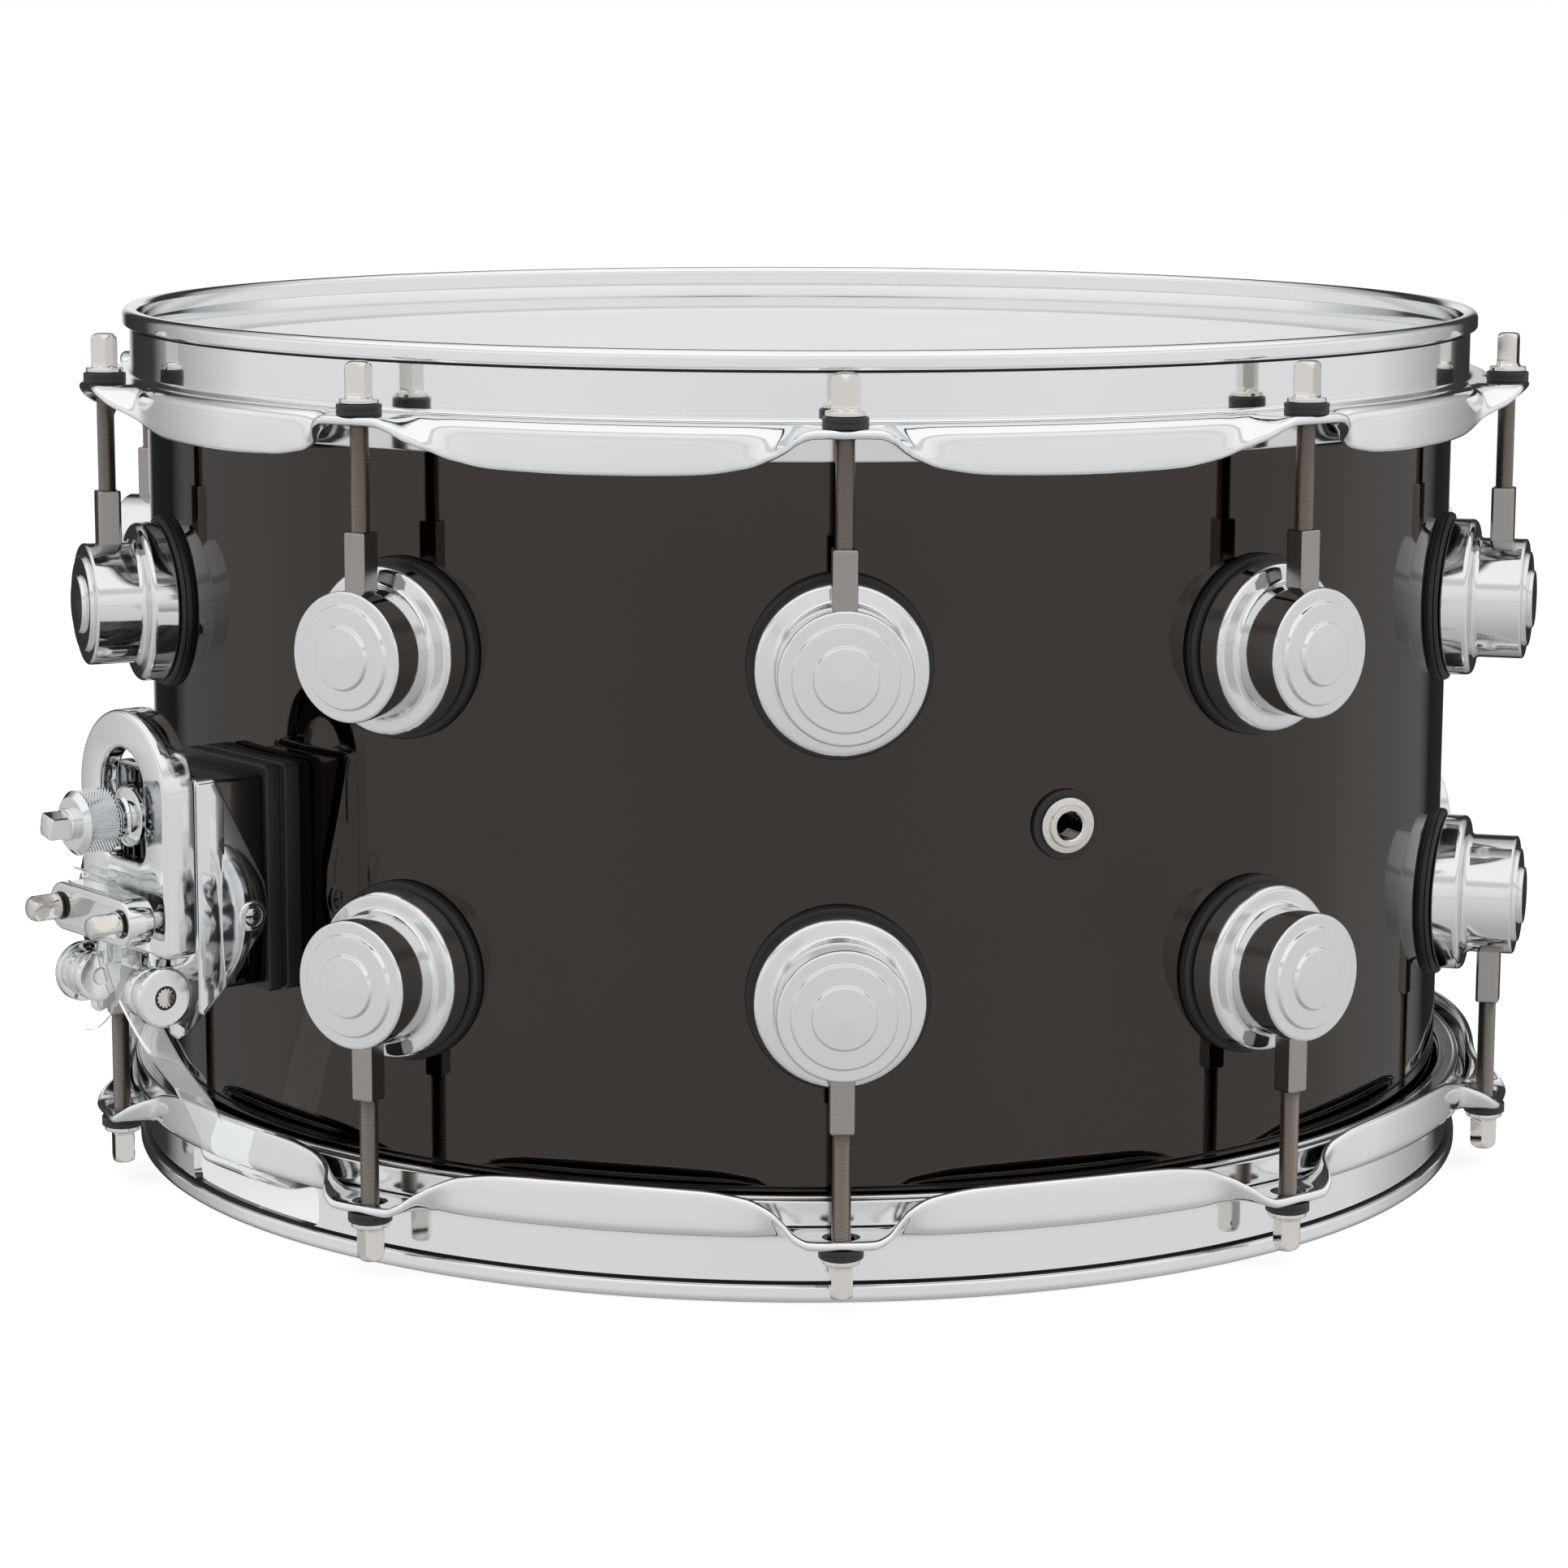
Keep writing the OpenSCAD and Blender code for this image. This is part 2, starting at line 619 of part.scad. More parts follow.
// A clamp screw on +X: shank, collar over the O-ring and drum-key head
module clamp_screw(x_face, x_in) {
    translate([x_in, 0, 0]) rotate([0, 90, 0]) cylinder(r = screw_r, h = x_face + o_ring - x_in);
    translate([x_face + o_ring, 0, 0]) rotate([0, 90, 0]) cylinder(r = 3.3, h = 1.3);
    translate([x_face + 10, 0, 0]) rotate([0, -90, 0]) key_head(7.6);
}

module clamp_screws() {
    color([0.70, 0.68, 0.66]) at_azimuth(throwoff_azimuth) for (s = [-1, 1])
        translate([0, s * screw_y, clamp_z]) clamp_screw(bar_x1, lever_x0 + 1.2);
}

module clamp_o_rings() {
    color([0.04, 0.04, 0.04]) at_azimuth(throwoff_azimuth) for (s = [-1, 1])
        translate([bar_x1, s * screw_y, clamp_z]) rotate([0, 90, 0]) difference() {
            cylinder(r = 3.5, h = o_ring);
            translate([0, 0, -bite]) cylinder(r = screw_r + 0.1, h = o_ring + 2 * bite);
        }
}

// ---- straps ----

function unit(v) = v / norm(v);
function left_of(v) = [-v[1], v[0]];
function heading(p, i) = unit(p[min(i + 1, len(p) - 1)] - p[max(i - 1, 0)]);
function ribbon(p, t) = concat(
    [for (i = [0 : len(p) - 1]) p[i] + left_of(heading(p, i)) * t / 2],
    [for (i = [len(p) - 1 : -1 : 0]) p[i] - left_of(heading(p, i)) * t / 2]);

// A flat strap as wide as w that follows a route of X and Z
module strap(route, w = strap_w) translate([0, w / 2, 0]) rotate([90, 0, 0])
    linear_extrude(w) polygon(ribbon(route, strap_t));

// Points of an arc over the top from the left to the right, or the other way when down
function arch(c, up) = [for (k = [0 : loop_steps])
    [c[0] - c[1] * cos(180 * k / loop_steps), loop_z + up * c[1] * sin(180 * k / loop_steps)]];

// The strap comes up behind the clamp bar, stands in two loops and hangs down again
module strap_fold() {
    color([0.93, 0.94, 0.95, 0.5]) at_azimuth(throwoff_azimuth)
        strap(concat(rise_route, arch(loop_a, 1), arch(dip, -1), arch(loop_b, 1), tail_route));
}

module strap_lower() { color([0.93, 0.94, 0.95, 0.5]) at_azimuth(throwoff_azimuth) strap(lower_route); }

module butt_strap() { color([0.93, 0.94, 0.95, 0.5]) at_azimuth(butt_azimuth) strap(butt_route); }

// ---- adjuster ----

module adjuster_knob() {
    color([0.84, 0.85, 0.86]) at_azimuth(throwoff_azimuth) difference() {
        union() {
            along_x(knob_z) rotate_extrude() polygon([[0, knob_x0], [4, knob_x0], [4, 212.3], [7.5, 212.5],
                [7.5, 213.7], [5.4, 214.6], [4.6, 216.2], [4.7, 217.6], [5.6, 219], [6.8, barrel_x0],
                [knob_r - 0.5, barrel_x0], [knob_r, barrel_x0 + 0.5], [knob_r, barrel_x1 - 1.6],
                [knob_r - 1.7, barrel_x1], [4, barrel_x1], [3.9, barrel_x1 + 1.7], [0, barrel_x1 + 1.7]]);
            translate([knob_tip_x, 0, knob_z]) rotate([0, -90, 0]) key_head(6);
        }
        translate([knob_x0 - bite, 0, knob_z]) rotate([0, 90, 0])
            cylinder(r = post_r + eps, h = 225.5 - knob_x0 + bite);
    }
}

// ---- butt plate, opposite the throw-off ----

module butt_gasket() {
    color([0.05, 0.05, 0.05]) at_azimuth(butt_azimuth) difference() {
        translate([174, -isolator_w / 2, butt_block_z0 - 1.5])
            cube([butt_block_x0 - 174, isolator_w, butt_block_z1 - butt_block_z0 + 3]);
        cylinder(r = shell_r, h = drum_height, $fn = 360);
        for (z = [78, 105]) translate([170, 0, z]) rotate([0, 90, 0]) cylinder(r = 2.7, h = 20);
    }
}

module butt_body() {
    color([0.84, 0.85, 0.86]) at_azimuth(butt_azimuth) difference() {
        rotate([90, 0, 0]) linear_extrude(butt_block_w, center = true) polygon([
            [butt_block_x0, butt_block_z0], [butt_block_x1 - 3, butt_block_z0],
            [butt_block_x1, butt_block_z0 + 3],
            [butt_block_x1, 98], [butt_block_x1 - 8, butt_block_z1], [butt_block_x0, butt_block_z1]]);
        for (z = [78, 105]) translate([170, 0, z]) rotate([0, 90, 0]) cylinder(r = 2.5 + eps, h = 24.6);
        for (s = [-1, 1]) translate([butt_block_x1 - 8, s * screw_y, clamp_z]) rotate([0, 90, 0])
            cylinder(r = screw_r + eps, h = 10);
    }
}

module butt_clamp() {
    color([0.85, 0.86, 0.87]) at_azimuth(butt_azimuth) difference() {
        translate([0, 0, clamp_z]) round_bar(butt_bar_x0, butt_bar_x1, bar_half, bar_r);
        for (s = [-1, 1]) translate([butt_bar_x0 - 1, s * screw_y, clamp_z]) rotate([0, 90, 0])
            cylinder(r = screw_r + 0.2, h = 10);
    }
}

module butt_screws() {
    color([0.70, 0.68, 0.66]) at_azimuth(butt_azimuth) for (s = [-1, 1])
        translate([0, s * screw_y, clamp_z]) clamp_screw(butt_bar_x1, butt_block_x1 - 7.5);
}

// ---- snares ----

module snare_end_plates() {
    w = wire_count * wire_pitch + 3;
    color([0.75, 0.75, 0.76]) for (a = [throwoff_azimuth, butt_azimuth]) at_azimuth(a)
        translate([plate_x - plate_len, -w / 2, wire_z - wire_r - plate_t - 0.02])
            cube([plate_len, w, plate_t]);
}

module snare_wires() {
    half = plate_x - plate_len / 2;
    color([0.78, 0.78, 0.78]) at_azimuth(throwoff_azimuth) for (k = [0 : wire_count - 1])
        translate([-half, (k - (wire_count - 1) / 2) * wire_pitch, wire_z])
            rotate([0, 90, 0]) cylinder(r = wire_r, h = 2 * half, $fn = 24);
}

shell();
vent_gasket();
vent_grommet();
batter_hoop();
snare_hoop();
batter_flesh_hoop();
snare_flesh_hoop();
batter_head();
snare_head();
batter_lugs();
snare_lugs();
lug_gaskets();
batter_receivers();
snare_receivers();
lug_screws();
lug_screw_washers();
rod_washers();
batter_rod(1);  // batter_rod_1
batter_rod(2);  // batter_rod_2
batter_rod(3);  // batter_rod_3
batter_rod(4);  // batter_rod_4
batter_rod(5);  // batter_rod_5
batter_rod(6);  // batter_rod_6
batter_rod(7);  // batter_rod_7
batter_rod(8);  // batter_rod_8
batter_rod(9);  // batter_rod_9
batter_rod(10);  // batter_rod_10
snare_rod(1);  // snare_rod_1
snare_rod(2);  // snare_rod_2
snare_rod(3);  // snare_rod_3
snare_rod(4);  // snare_rod_4
snare_rod(5);  // snare_rod_5
snare_rod(6);  // snare_rod_6
snare_rod(7);  // snare_rod_7
snare_rod(8);  // snare_rod_8
snare_rod(9);  // snare_rod_9
snare_rod(10);  // snare_rod_10
throwoff_gasket();
throwoff_block();
throwoff_housing();
housing_side_screws();
mount_screws();
throwoff_magnets();
adjuster_post();
hinge_pins();
lever();
lever_keepers();
clamp_bar();
clamp_screws();
clamp_o_rings();
strap_fold();
adjuster_knob();
strap_lower();
butt_gasket();
butt_body();
butt_clamp();
butt_screws();
butt_strap();
snare_end_plates();
snare_wires();
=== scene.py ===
import math
import bmesh
import bpy
from mathutils import Matrix, Vector


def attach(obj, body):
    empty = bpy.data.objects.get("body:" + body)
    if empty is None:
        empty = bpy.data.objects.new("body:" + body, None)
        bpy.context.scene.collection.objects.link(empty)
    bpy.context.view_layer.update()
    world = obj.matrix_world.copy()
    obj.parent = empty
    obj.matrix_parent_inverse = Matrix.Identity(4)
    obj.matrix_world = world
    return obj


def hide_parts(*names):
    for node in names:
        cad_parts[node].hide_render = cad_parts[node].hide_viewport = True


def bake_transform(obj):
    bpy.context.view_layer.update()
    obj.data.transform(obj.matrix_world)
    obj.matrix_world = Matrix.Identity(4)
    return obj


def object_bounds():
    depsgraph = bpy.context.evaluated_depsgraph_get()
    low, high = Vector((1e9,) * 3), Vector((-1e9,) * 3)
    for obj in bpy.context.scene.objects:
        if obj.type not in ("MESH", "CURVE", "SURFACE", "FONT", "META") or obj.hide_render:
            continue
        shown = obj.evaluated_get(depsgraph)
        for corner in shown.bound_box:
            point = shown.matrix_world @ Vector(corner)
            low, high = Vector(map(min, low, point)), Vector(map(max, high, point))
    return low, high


bl_info = {
    "name": "Snare Drum Maker",
    "version": (1, 0, 0),
    "blender": (4, 5, 0),
    "location": "View3D > Sidebar > Drum",
    "description": "Finishes a turret-lug snare drum over its measured frame",
    "category": "Object",
}

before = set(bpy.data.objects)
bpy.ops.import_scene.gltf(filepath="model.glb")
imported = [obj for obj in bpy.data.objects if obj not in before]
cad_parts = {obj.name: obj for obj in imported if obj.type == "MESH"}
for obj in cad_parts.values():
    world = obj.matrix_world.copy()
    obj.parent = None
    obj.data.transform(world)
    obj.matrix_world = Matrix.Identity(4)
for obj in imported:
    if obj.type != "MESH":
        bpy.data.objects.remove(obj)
CAD_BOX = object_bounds()
MM = 0.001
# points closer than this, in metres, are welded
SEAM = 2e-6
TAU = 2 * math.pi
# a turned face stops this far from its axis, in millimetres
CORE = 0.01
LUGS = 10
# azimuths in degrees from the front lug
THROWOFF = -54.0
BUTT = 126.0
VENT = 18.0
# throw-off and butt in millimetres: how far out and up the hinge pin, side boss, knob and clamp sit
PIN = (216, 67.7)
BOSS = (190.9, 85)
KNOB_HEIGHT = 109.6
CLAMP_HEIGHT = 86.3
CLAMP_SCREW = 14.6


# ---------------------------------------------------------------- settings

def length(name, default, description):
    """A size property kept in metres and shown as a length."""
    return bpy.props.FloatProperty(name=name, description=description, default=default,
                                   subtype="DISTANCE", unit="LENGTH")


def colour(name, default, description):
    """A colour property without alpha."""
    return bpy.props.FloatVectorProperty(name=name, description=description, default=default, size=3,
                                         min=0.0, max=1.0, subtype="COLOR")


class DrumSizes(bpy.types.PropertyGroup):
    height: length("Height", CAD_BOX[1][2] - CAD_BOX[0][2], "Overall height from rim to rim")
    shell_radius: length("Shell radius", 0.177, "Outer radius of the shell")
    shell_edge: length("Shell edge", 0.0126, "Distance from the rim's end to the shell's edge")
    rod_circle: length("Rod circle", 0.1922, "Distance of the tension rods from the axis")
    ear_height: length("Ear height", 0.017, "Distance from the rim's end to the ears")
    skirt_radius: length("Skirt radius", 0.188, "Outer radius of the hoop's skirt")
    lug_height: length("Lug height", 0.0743, "Distance from the rim's end to the lugs' centres")
    thread_pitch: length("Thread pitch", 0.0005, "Pitch of the tension rods' thread")
    wire_pitch: length("Wire pitch", 0.0022, "Distance between snare wires")


class DrumColours(bpy.types.PropertyGroup):
    shell: colour("Shell", (0.060, 0.052, 0.047), "Black nickel plate on the shell")
    chrome: colour("Chrome", (0.80, 0.81, 0.82), "Chrome on hoops, lugs and castings")
    nickel: colour("Nickel", (0.36, 0.34, 0.325), "Satin nickel of rods and receivers")
    head: colour("Head", (0.78, 0.78, 0.775), "White coating of the batter head")
    rubber: colour("Rubber", (0.008, 0.008, 0.009), "Gaskets and O-rings")
    strap: colour("Strap", (0.95, 0.96, 0.96), "Clear polyester strap")
    floor: colour("Floor", (0.50, 0.50, 0.50), "Studio floor")


def sizes():
    """The drum's sizes as set in the scene."""
    return bpy.context.scene.drum_sizes


def colours():
    """The drum's colours as set in the scene."""
    return bpy.context.scene.drum_colours


# ---------------------------------------------------------------- effect groups

def effect_group(name, scale, low, high):
    """A shader node group with a scale and two roughness limits in; roughness, relief and tone out."""
    group = bpy.data.node_groups.new(name, "ShaderNodeTree")
    for label, value in (("Scale", scale), ("Low", low), ("High", high)):
        socket = group.interface.new_socket(name=label, in_out="INPUT", socket_type="NodeSocketFloat")
        socket.default_value = value
    for label in ("Roughness", "Height", "Tone"):
        group.interface.new_socket(name=label, in_out="OUTPUT", socket_type="NodeSocketFloat")
    return group, group.nodes.new("NodeGroupInput"), group.nodes.new("NodeGroupOutput")


def noise(group, scale, detail, stretch=None):
    """Noise over the piece's own coordinates, at a plain scale or one that a socket gives."""
    coords = group.nodes.new("ShaderNodeTexCoord").outputs["Object"]
    node = group.nodes.new("ShaderNodeTexNoise")
    node.inputs["Detail"].default_value = detail
    if isinstance(scale, (int, float)):
        node.inputs["Scale"].default_value = scale
    else:
        group.links.new(scale, node.inputs["Scale"])
    if stretch:
        mapping = group.nodes.new("ShaderNodeMapping")
        mapping.inputs["Scale"].default_value = stretch
        group.links.new(coords, mapping.inputs["Vector"])
        coords = mapping.outputs[0]
    group.links.new(coords, node.inputs["Vector"])
    return node.outputs[0]


def feed_outputs(group, inward, outward, rough, height, tone, spread=(0.0, 1.0)):
    """Sends patterns to the group's outputs; roughness runs from Low to High over the spread."""
    span = group.nodes.new("ShaderNodeMapRange")
    span.inputs["From Min"].default_value, span.inputs["From Max"].default_value = spread
    group.links.new(rough, span.inputs["Value"])
    group.links.new(inward.outputs["Low"], span.inputs["To Min"])
    group.links.new(inward.outputs["High"], span.inputs["To Max"])
    for source, label in ((span.outputs[0], "Roughness"), (height, "Height"), (tone, "Tone")):
        group.links.new(source, outward.inputs[label])


def plating_group():
    """Faint cloudiness and polishing waves of plated metal."""
    group, inward, outward = effect_group("Plating", 40.0, 0.03, 0.08)
    cloud = noise(group, inward.outputs["Scale"], 4.0)
    feed_outputs(group, inward, outward, cloud, noise(group, 9.0, 1.0), cloud, (0.3, 0.75))


def grain_group():
    """Fine grain of rubber, coating and moulded plastic."""
    group, inward, outward = effect_group("Fine grain", 900.0, 0.5, 0.8)
    patch = noise(group, 30.0, 3.0)
    feed_outputs(group, inward, outward, patch, noise(group, inward.outputs["Scale"], 6.0), patch)


def turned_group():
    """Fine rings and fibres left by turning and drawing."""
    group, inward, outward = effect_group("Turned marks", 260.0, 0.2, 0.35)
    rings = noise(group, inward.outputs["Scale"], 3.0, (1.0, 1.0, 14.0))
    feed_outputs(group, inward, outward, rings, rings, rings)


def finish(name, base, group_name, scale, low, high, bump, bump_distance, shade, **sockets):
    """A Principled material whose roughness, tone and relief come from one effect group.

    Scale sets the pattern's size and low to high the roughness; bump and bump_distance set the relief,
    and shade is how far the tone swings about the base colour.
    """
    material = bpy.data.materials.new(name)
    material.use_nodes = True
    tree = material.node_tree
    shader = tree.nodes["Principled BSDF"]
    shader.inputs["Base Color"].default_value = (*base, 1.0)
    for label, value in sockets.items():
        shader.inputs[label.replace("_", " ")].default_value = value
    effect = tree.nodes.new("ShaderNodeGroup")
    effect.node_tree = bpy.data.node_groups[group_name]
    effect.inputs["Scale"].default_value = scale
    effect.inputs["Low"].default_value = low
    effect.inputs["High"].default_value = high
    tree.links.new(effect.outputs["Roughness"], shader.inputs["Roughness"])
    if shade > 0:
        mix = tree.nodes.new("ShaderNodeMix")
        mix.data_type = "RGBA"
        mix.inputs["A"].default_value = (*[c * (1 - shade) for c in base], 1.0)
        mix.inputs["B"].default_value = (*[min(1.0, c * (1 + shade)) for c in base], 1.0)
        tree.links.new(effect.outputs["Tone"], mix.inputs["Factor"])
        tree.links.new(mix.outputs["Result"], shader.inputs["Base Color"])
    relief = tree.nodes.new("ShaderNodeBump")
    relief.inputs["Strength"].default_value = bump
    relief.inputs["Distance"].default_value = bump_distance
    tree.links.new(effect.outputs["Height"], relief.inputs["Height"])
    tree.links.new(relief.outputs["Normal"], shader.inputs["Normal"])


def paint(name):
    """The finish of that name."""
    return bpy.data.materials[name]


# ---------------------------------------------------------------- shaping helpers, in millimetres

def at_azimuth(phi):
    """Turns +X to an azimuth measured from -Y towards +X."""
    return Matrix.Rotation(math.radians(phi - 90.0), 4, "Z")


def mirrored(place, sign):
    """The place itself for sign 1, and its mirror image in Y for sign -1."""
    return place @ Matrix.Diagonal((1, sign, 1, 1))


def lying_across(place, spot):
    """Lays a turned piece's axis along +Y, through a spot given as X and Z."""
    return place @ Matrix.Translation((spot[0], 0, spot[1])) @ Matrix.Rotation(math.radians(-90), 4, "X")


def batter_side():
    """Turns a part made for the lower end over to the upper end."""
    height = sizes().height / MM
    return Matrix.Translation((0, 0, height)) @ Matrix.Diagonal((1, 1, -1, 1))


# turns a lathe's axis from Z to X
AXIS_X = Matrix.Rotation(math.radians(90), 4, "Y")
TOWARDS_SHELL = Matrix.Rotation(math.radians(-90), 4, "Y")
STAY = Matrix.Identity(4)


def lug_turns():
    """Azimuths of the lugs on either side."""
    return [360.0 / LUGS * k for k in range(LUGS)]


def blend_points(table, x):
    """Smooth value at x from a short table of given points."""
    if x <= table[0][0]:
        return table[0][1]
    if x >= table[-1][0]:
        return table[-1][1]
    for i in range(len(table) - 1):
        x0, y0 = table[i]
        x1, y1 = table[i + 1]
        if x0 <= x <= x1:
            h = x1 - x0
            t = (x - x0) / h
            m0 = m1 = 0.0
            if i:
                m0 = (y1 - table[i - 1][1]) / (x1 - table[i - 1][0])
            if i + 2 < len(table):
                m1 = (table[i + 2][1] - y0) / (table[i + 2][0] - x0)
            return ((2 * t ** 3 - 3 * t ** 2 + 1) * y0 + (t ** 3 - 2 * t ** 2 + t) * h * m0
                    + (-2 * t ** 3 + 3 * t ** 2) * y1 + (t ** 3 - t ** 2) * h * m1)


def soften(points, radius, steps=5, closed=True):
    """Rounds the corners of an outline and leaves the flats between them flat."""
    count = len(points)
    radii = radius if isinstance(radius, (list, tuple)) else [radius] * count
    result = []
    for i, corner in enumerate(points):
        if not closed and i in (0, count - 1) or radii[i] <= 0:
            result.append(tuple(corner))
            continue
        here = Vector(corner)
        before = Vector(points[i - 1]) - here
        after = Vector(points[(i + 1) % count]) - here
        angle = before.angle(after)
        if not math.radians(2) <= angle <= math.radians(176):
            result.append(tuple(corner))
            continue
        # a corner takes at most this share of the flats beside it
        reach = min(radii[i] / math.tan(angle / 2), before.length * 0.46, after.length * 0.46)
        r = reach * math.tan(angle / 2)
        before.normalize()
        after.normalize()
        start = here + before * reach
        end = here + after * reach
        centre = here + (before + after).normalized() * (r / math.sin(angle / 2))
        # a point just outside each end of the bend keeps the flat's shading flat
        guard = reach * 0.06
        result.append(tuple(start + before * guard))
        spin = (start - centre).angle_signed(end - centre)
        for k in range(steps + 1):
            turn = -spin * k / steps
            d = start - centre
            result.append((centre.x + d.x * math.cos(turn) - d.y * math.sin(turn),
                           centre.y + d.x * math.sin(turn) + d.y * math.cos(turn)))
        result.append(tuple(end + after * guard))
    return result


def box_outline(x0, x1, y0, y1, r, steps=6):
    """A rectangle with rounded corners."""
    return soften([(x0, y0), (x1, y0), (x1, y1), (x0, y1)], r, steps)


def arc(cx, cy, r, start, end, steps):
    """Points of an arc, angles in degrees."""
    angles = [math.radians(start + (end - start) * k / steps) for k in range(steps + 1)]
    return [(cx + r * math.cos(a), cy + r * math.sin(a)) for a in angles]


def smooth(mesh, crease):
    """Smooth shading with creases where faces meet at more than the angle in degrees."""
    mesh.shade_smooth()
    mesh.set_sharp_from_angle(angle=math.radians(crease))


def face_outwards(mesh):
    """Turns every face of a closed mesh outwards."""
    work = bmesh.new()
    work.from_mesh(mesh)
    bmesh.ops.recalc_face_normals(work, faces=work.faces)
    work.to_mesh(mesh)
    work.free()


def shaped_mesh(obj):
    """A new mesh of the object with its modifiers or bevels carried out."""
    bpy.context.view_layer.update()
    return bpy.data.meshes.new_from_object(obj.evaluated_get(bpy.context.evaluated_depsgraph_get()))


def circle(r, z, steps):
    """Points round the Z axis."""
    return [(r * math.cos(TAU * k / steps), r * math.sin(TAU * k / steps), z) for k in range(steps)]


class Blank:
    """A mesh that grows piece by piece, in millimetres."""

    def __init__(self):
        self.verts = []
        self.faces = []
        self.marks = []

    def mesh(self, name):
        """What has grown so far, in metres."""
        mesh = bpy.data.meshes.new(name)
        mesh.from_pydata([tuple(v * MM) for v in self.verts], [], [tuple(f) for f in self.faces])
        return mesh

    def add(self, verts, faces, matrix=STAY, mark=0):
        """Adds points and faces at a place; the mark is the number of their finish."""
        base = len(self.verts)
        flip = matrix.determinant() < 0
        self.verts += [matrix @ Vector(v) for v in verts]
        for f in faces:
            ring = [base + i for i in f]
            self.faces.append(ring[::-1] if flip else ring)
            self.marks.append(mark)
        return self

    def skin(self, rings, matrix=STAY, ends=False, mark=0, wrap=False):
        """Quads between closed rings of equally many points; wrap joins the last ring to the first."""
        n = len(rings[0])
        verts = [p for ring in rings for p in ring]
        faces = []
        for i in range(len(rings) if wrap else len(rings) - 1):
            j = (i + 1) % len(rings)
            for k in range(n):
                l = (k + 1) % n
                faces.append((i * n + k, i * n + l, j * n + l, j * n + k))
        if ends:
            faces.append(tuple(range(n))[::-1])
            faces.append(tuple((len(rings) - 1) * n + k for k in range(n)))
        return self.add(verts, faces, matrix, mark)

    def lathe(self, profile, steps=96, matrix=STAY, closed=False, mark=0):
        """Turns a profile of radius and height about Z; a radius of 0 closes an end."""
        verts = []
        index = []
        for r, z in profile:
            if r == 0:
                index.append([len(verts)] * steps)
                verts.append((0, 0, z))
            else:
                index.append(list(range(len(verts), len(verts) + steps)))
                verts += circle(r, z, steps)
        faces = []
        pairs = list(zip(index, index[1:])) + ([(index[-1], index[0])] if closed else [])
        for low, high in pairs:
            for k in range(steps):
                l = (k + 1) % steps
                loop = []
                for v in (low[k], low[l], high[l], high[k]):
                    if v not in loop:
                        loop.append(v)
                if len(loop) > 2:
                    faces.append(tuple(loop))
        return self.add(verts, faces, matrix, mark)

    def plate(self, loops, x0, x1, bevel, matrix, steps=3):
        """A flat plate with rounded edges from x0 to x1; loops are its outline and holes in Y and Z."""
        curve = bpy.data.curves.new("outline", "CURVE")
        curve.dimensions = "2D"
        curve.fill_mode = "BOTH"
        curve.extrude = (x1 - x0) / 2 - bevel
        curve.bevel_depth = bevel
        curve.bevel_resolution = steps
        curve.offset = -bevel
        for loop in loops:
            spline = curve.splines.new("POLY")
            spline.points.add(len(loop) - 1)
            for point, (a, b) in zip(spline.points, loop):
                point.co = (a, b, 0, 1)
            spline.use_cyclic_u = True
        holder = bpy.data.objects.new("outline", curve)
        bpy.context.scene.collection.objects.link(holder)
        mesh = shaped_mesh(holder)
        middle = (x0 + x1) / 2
        verts = [(middle + v.co.z, v.co.x, v.co.y) for v in mesh.vertices]
        faces = [tuple(p.vertices) for p in mesh.polygons]
        bpy.data.objects.remove(holder)
        bpy.data.meshes.remove(mesh)
        bpy.data.curves.remove(curve)
        return self.add(verts, faces, matrix)

    def piece(self, name, materials, body, slot, nodes, crease=35.0, weld=True):
        """Makes the object, in metres, and hands it to the frame."""
        mesh = self.mesh(name)
        for label in materials:
            mesh.materials.append(paint(label))
        for polygon, mark in zip(mesh.polygons, self.marks):
            polygon.material_index = mark
        if weld:
            work = bmesh.new()
            work.from_mesh(mesh)
            bmesh.ops.remove_doubles(work, verts=work.verts, dist=SEAM)
            work.to_mesh(mesh)
            work.free()
        smooth(mesh, crease)
        obj = bpy.data.objects.new(name, mesh)
        bpy.context.scene.collection.objects.link(obj)
        if body:
            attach(obj, body)
        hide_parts(*nodes)
        return obj


def carve(obj, cutter_blank):
    """Cuts one blank out of a piece."""
    mesh = cutter_blank.mesh("cutter")
    face_outwards(mesh)
    tool = bpy.data.objects.new("cutter", mesh)
    bpy.context.scene.collection.objects.link(tool)
    modifier = obj.modifiers.new("carve", "BOOLEAN")
    modifier.operation = "DIFFERENCE"
    modifier.solver = "EXACT"
    modifier.object = tool
    result = shaped_mesh(obj)
    obj.modifiers.clear()
    old = obj.data
    obj.data = result
    bpy.data.meshes.remove(old)
    bpy.data.objects.remove(tool)


# ---------------------------------------------------------------- shell, heads and flesh hoops

def vent_place():
    """The vent's axis, halfway up the shell."""
    return at_azimuth(VENT) @ Matrix.Translation((0, 0, sizes().height / MM / 2)) @ AXIS_X


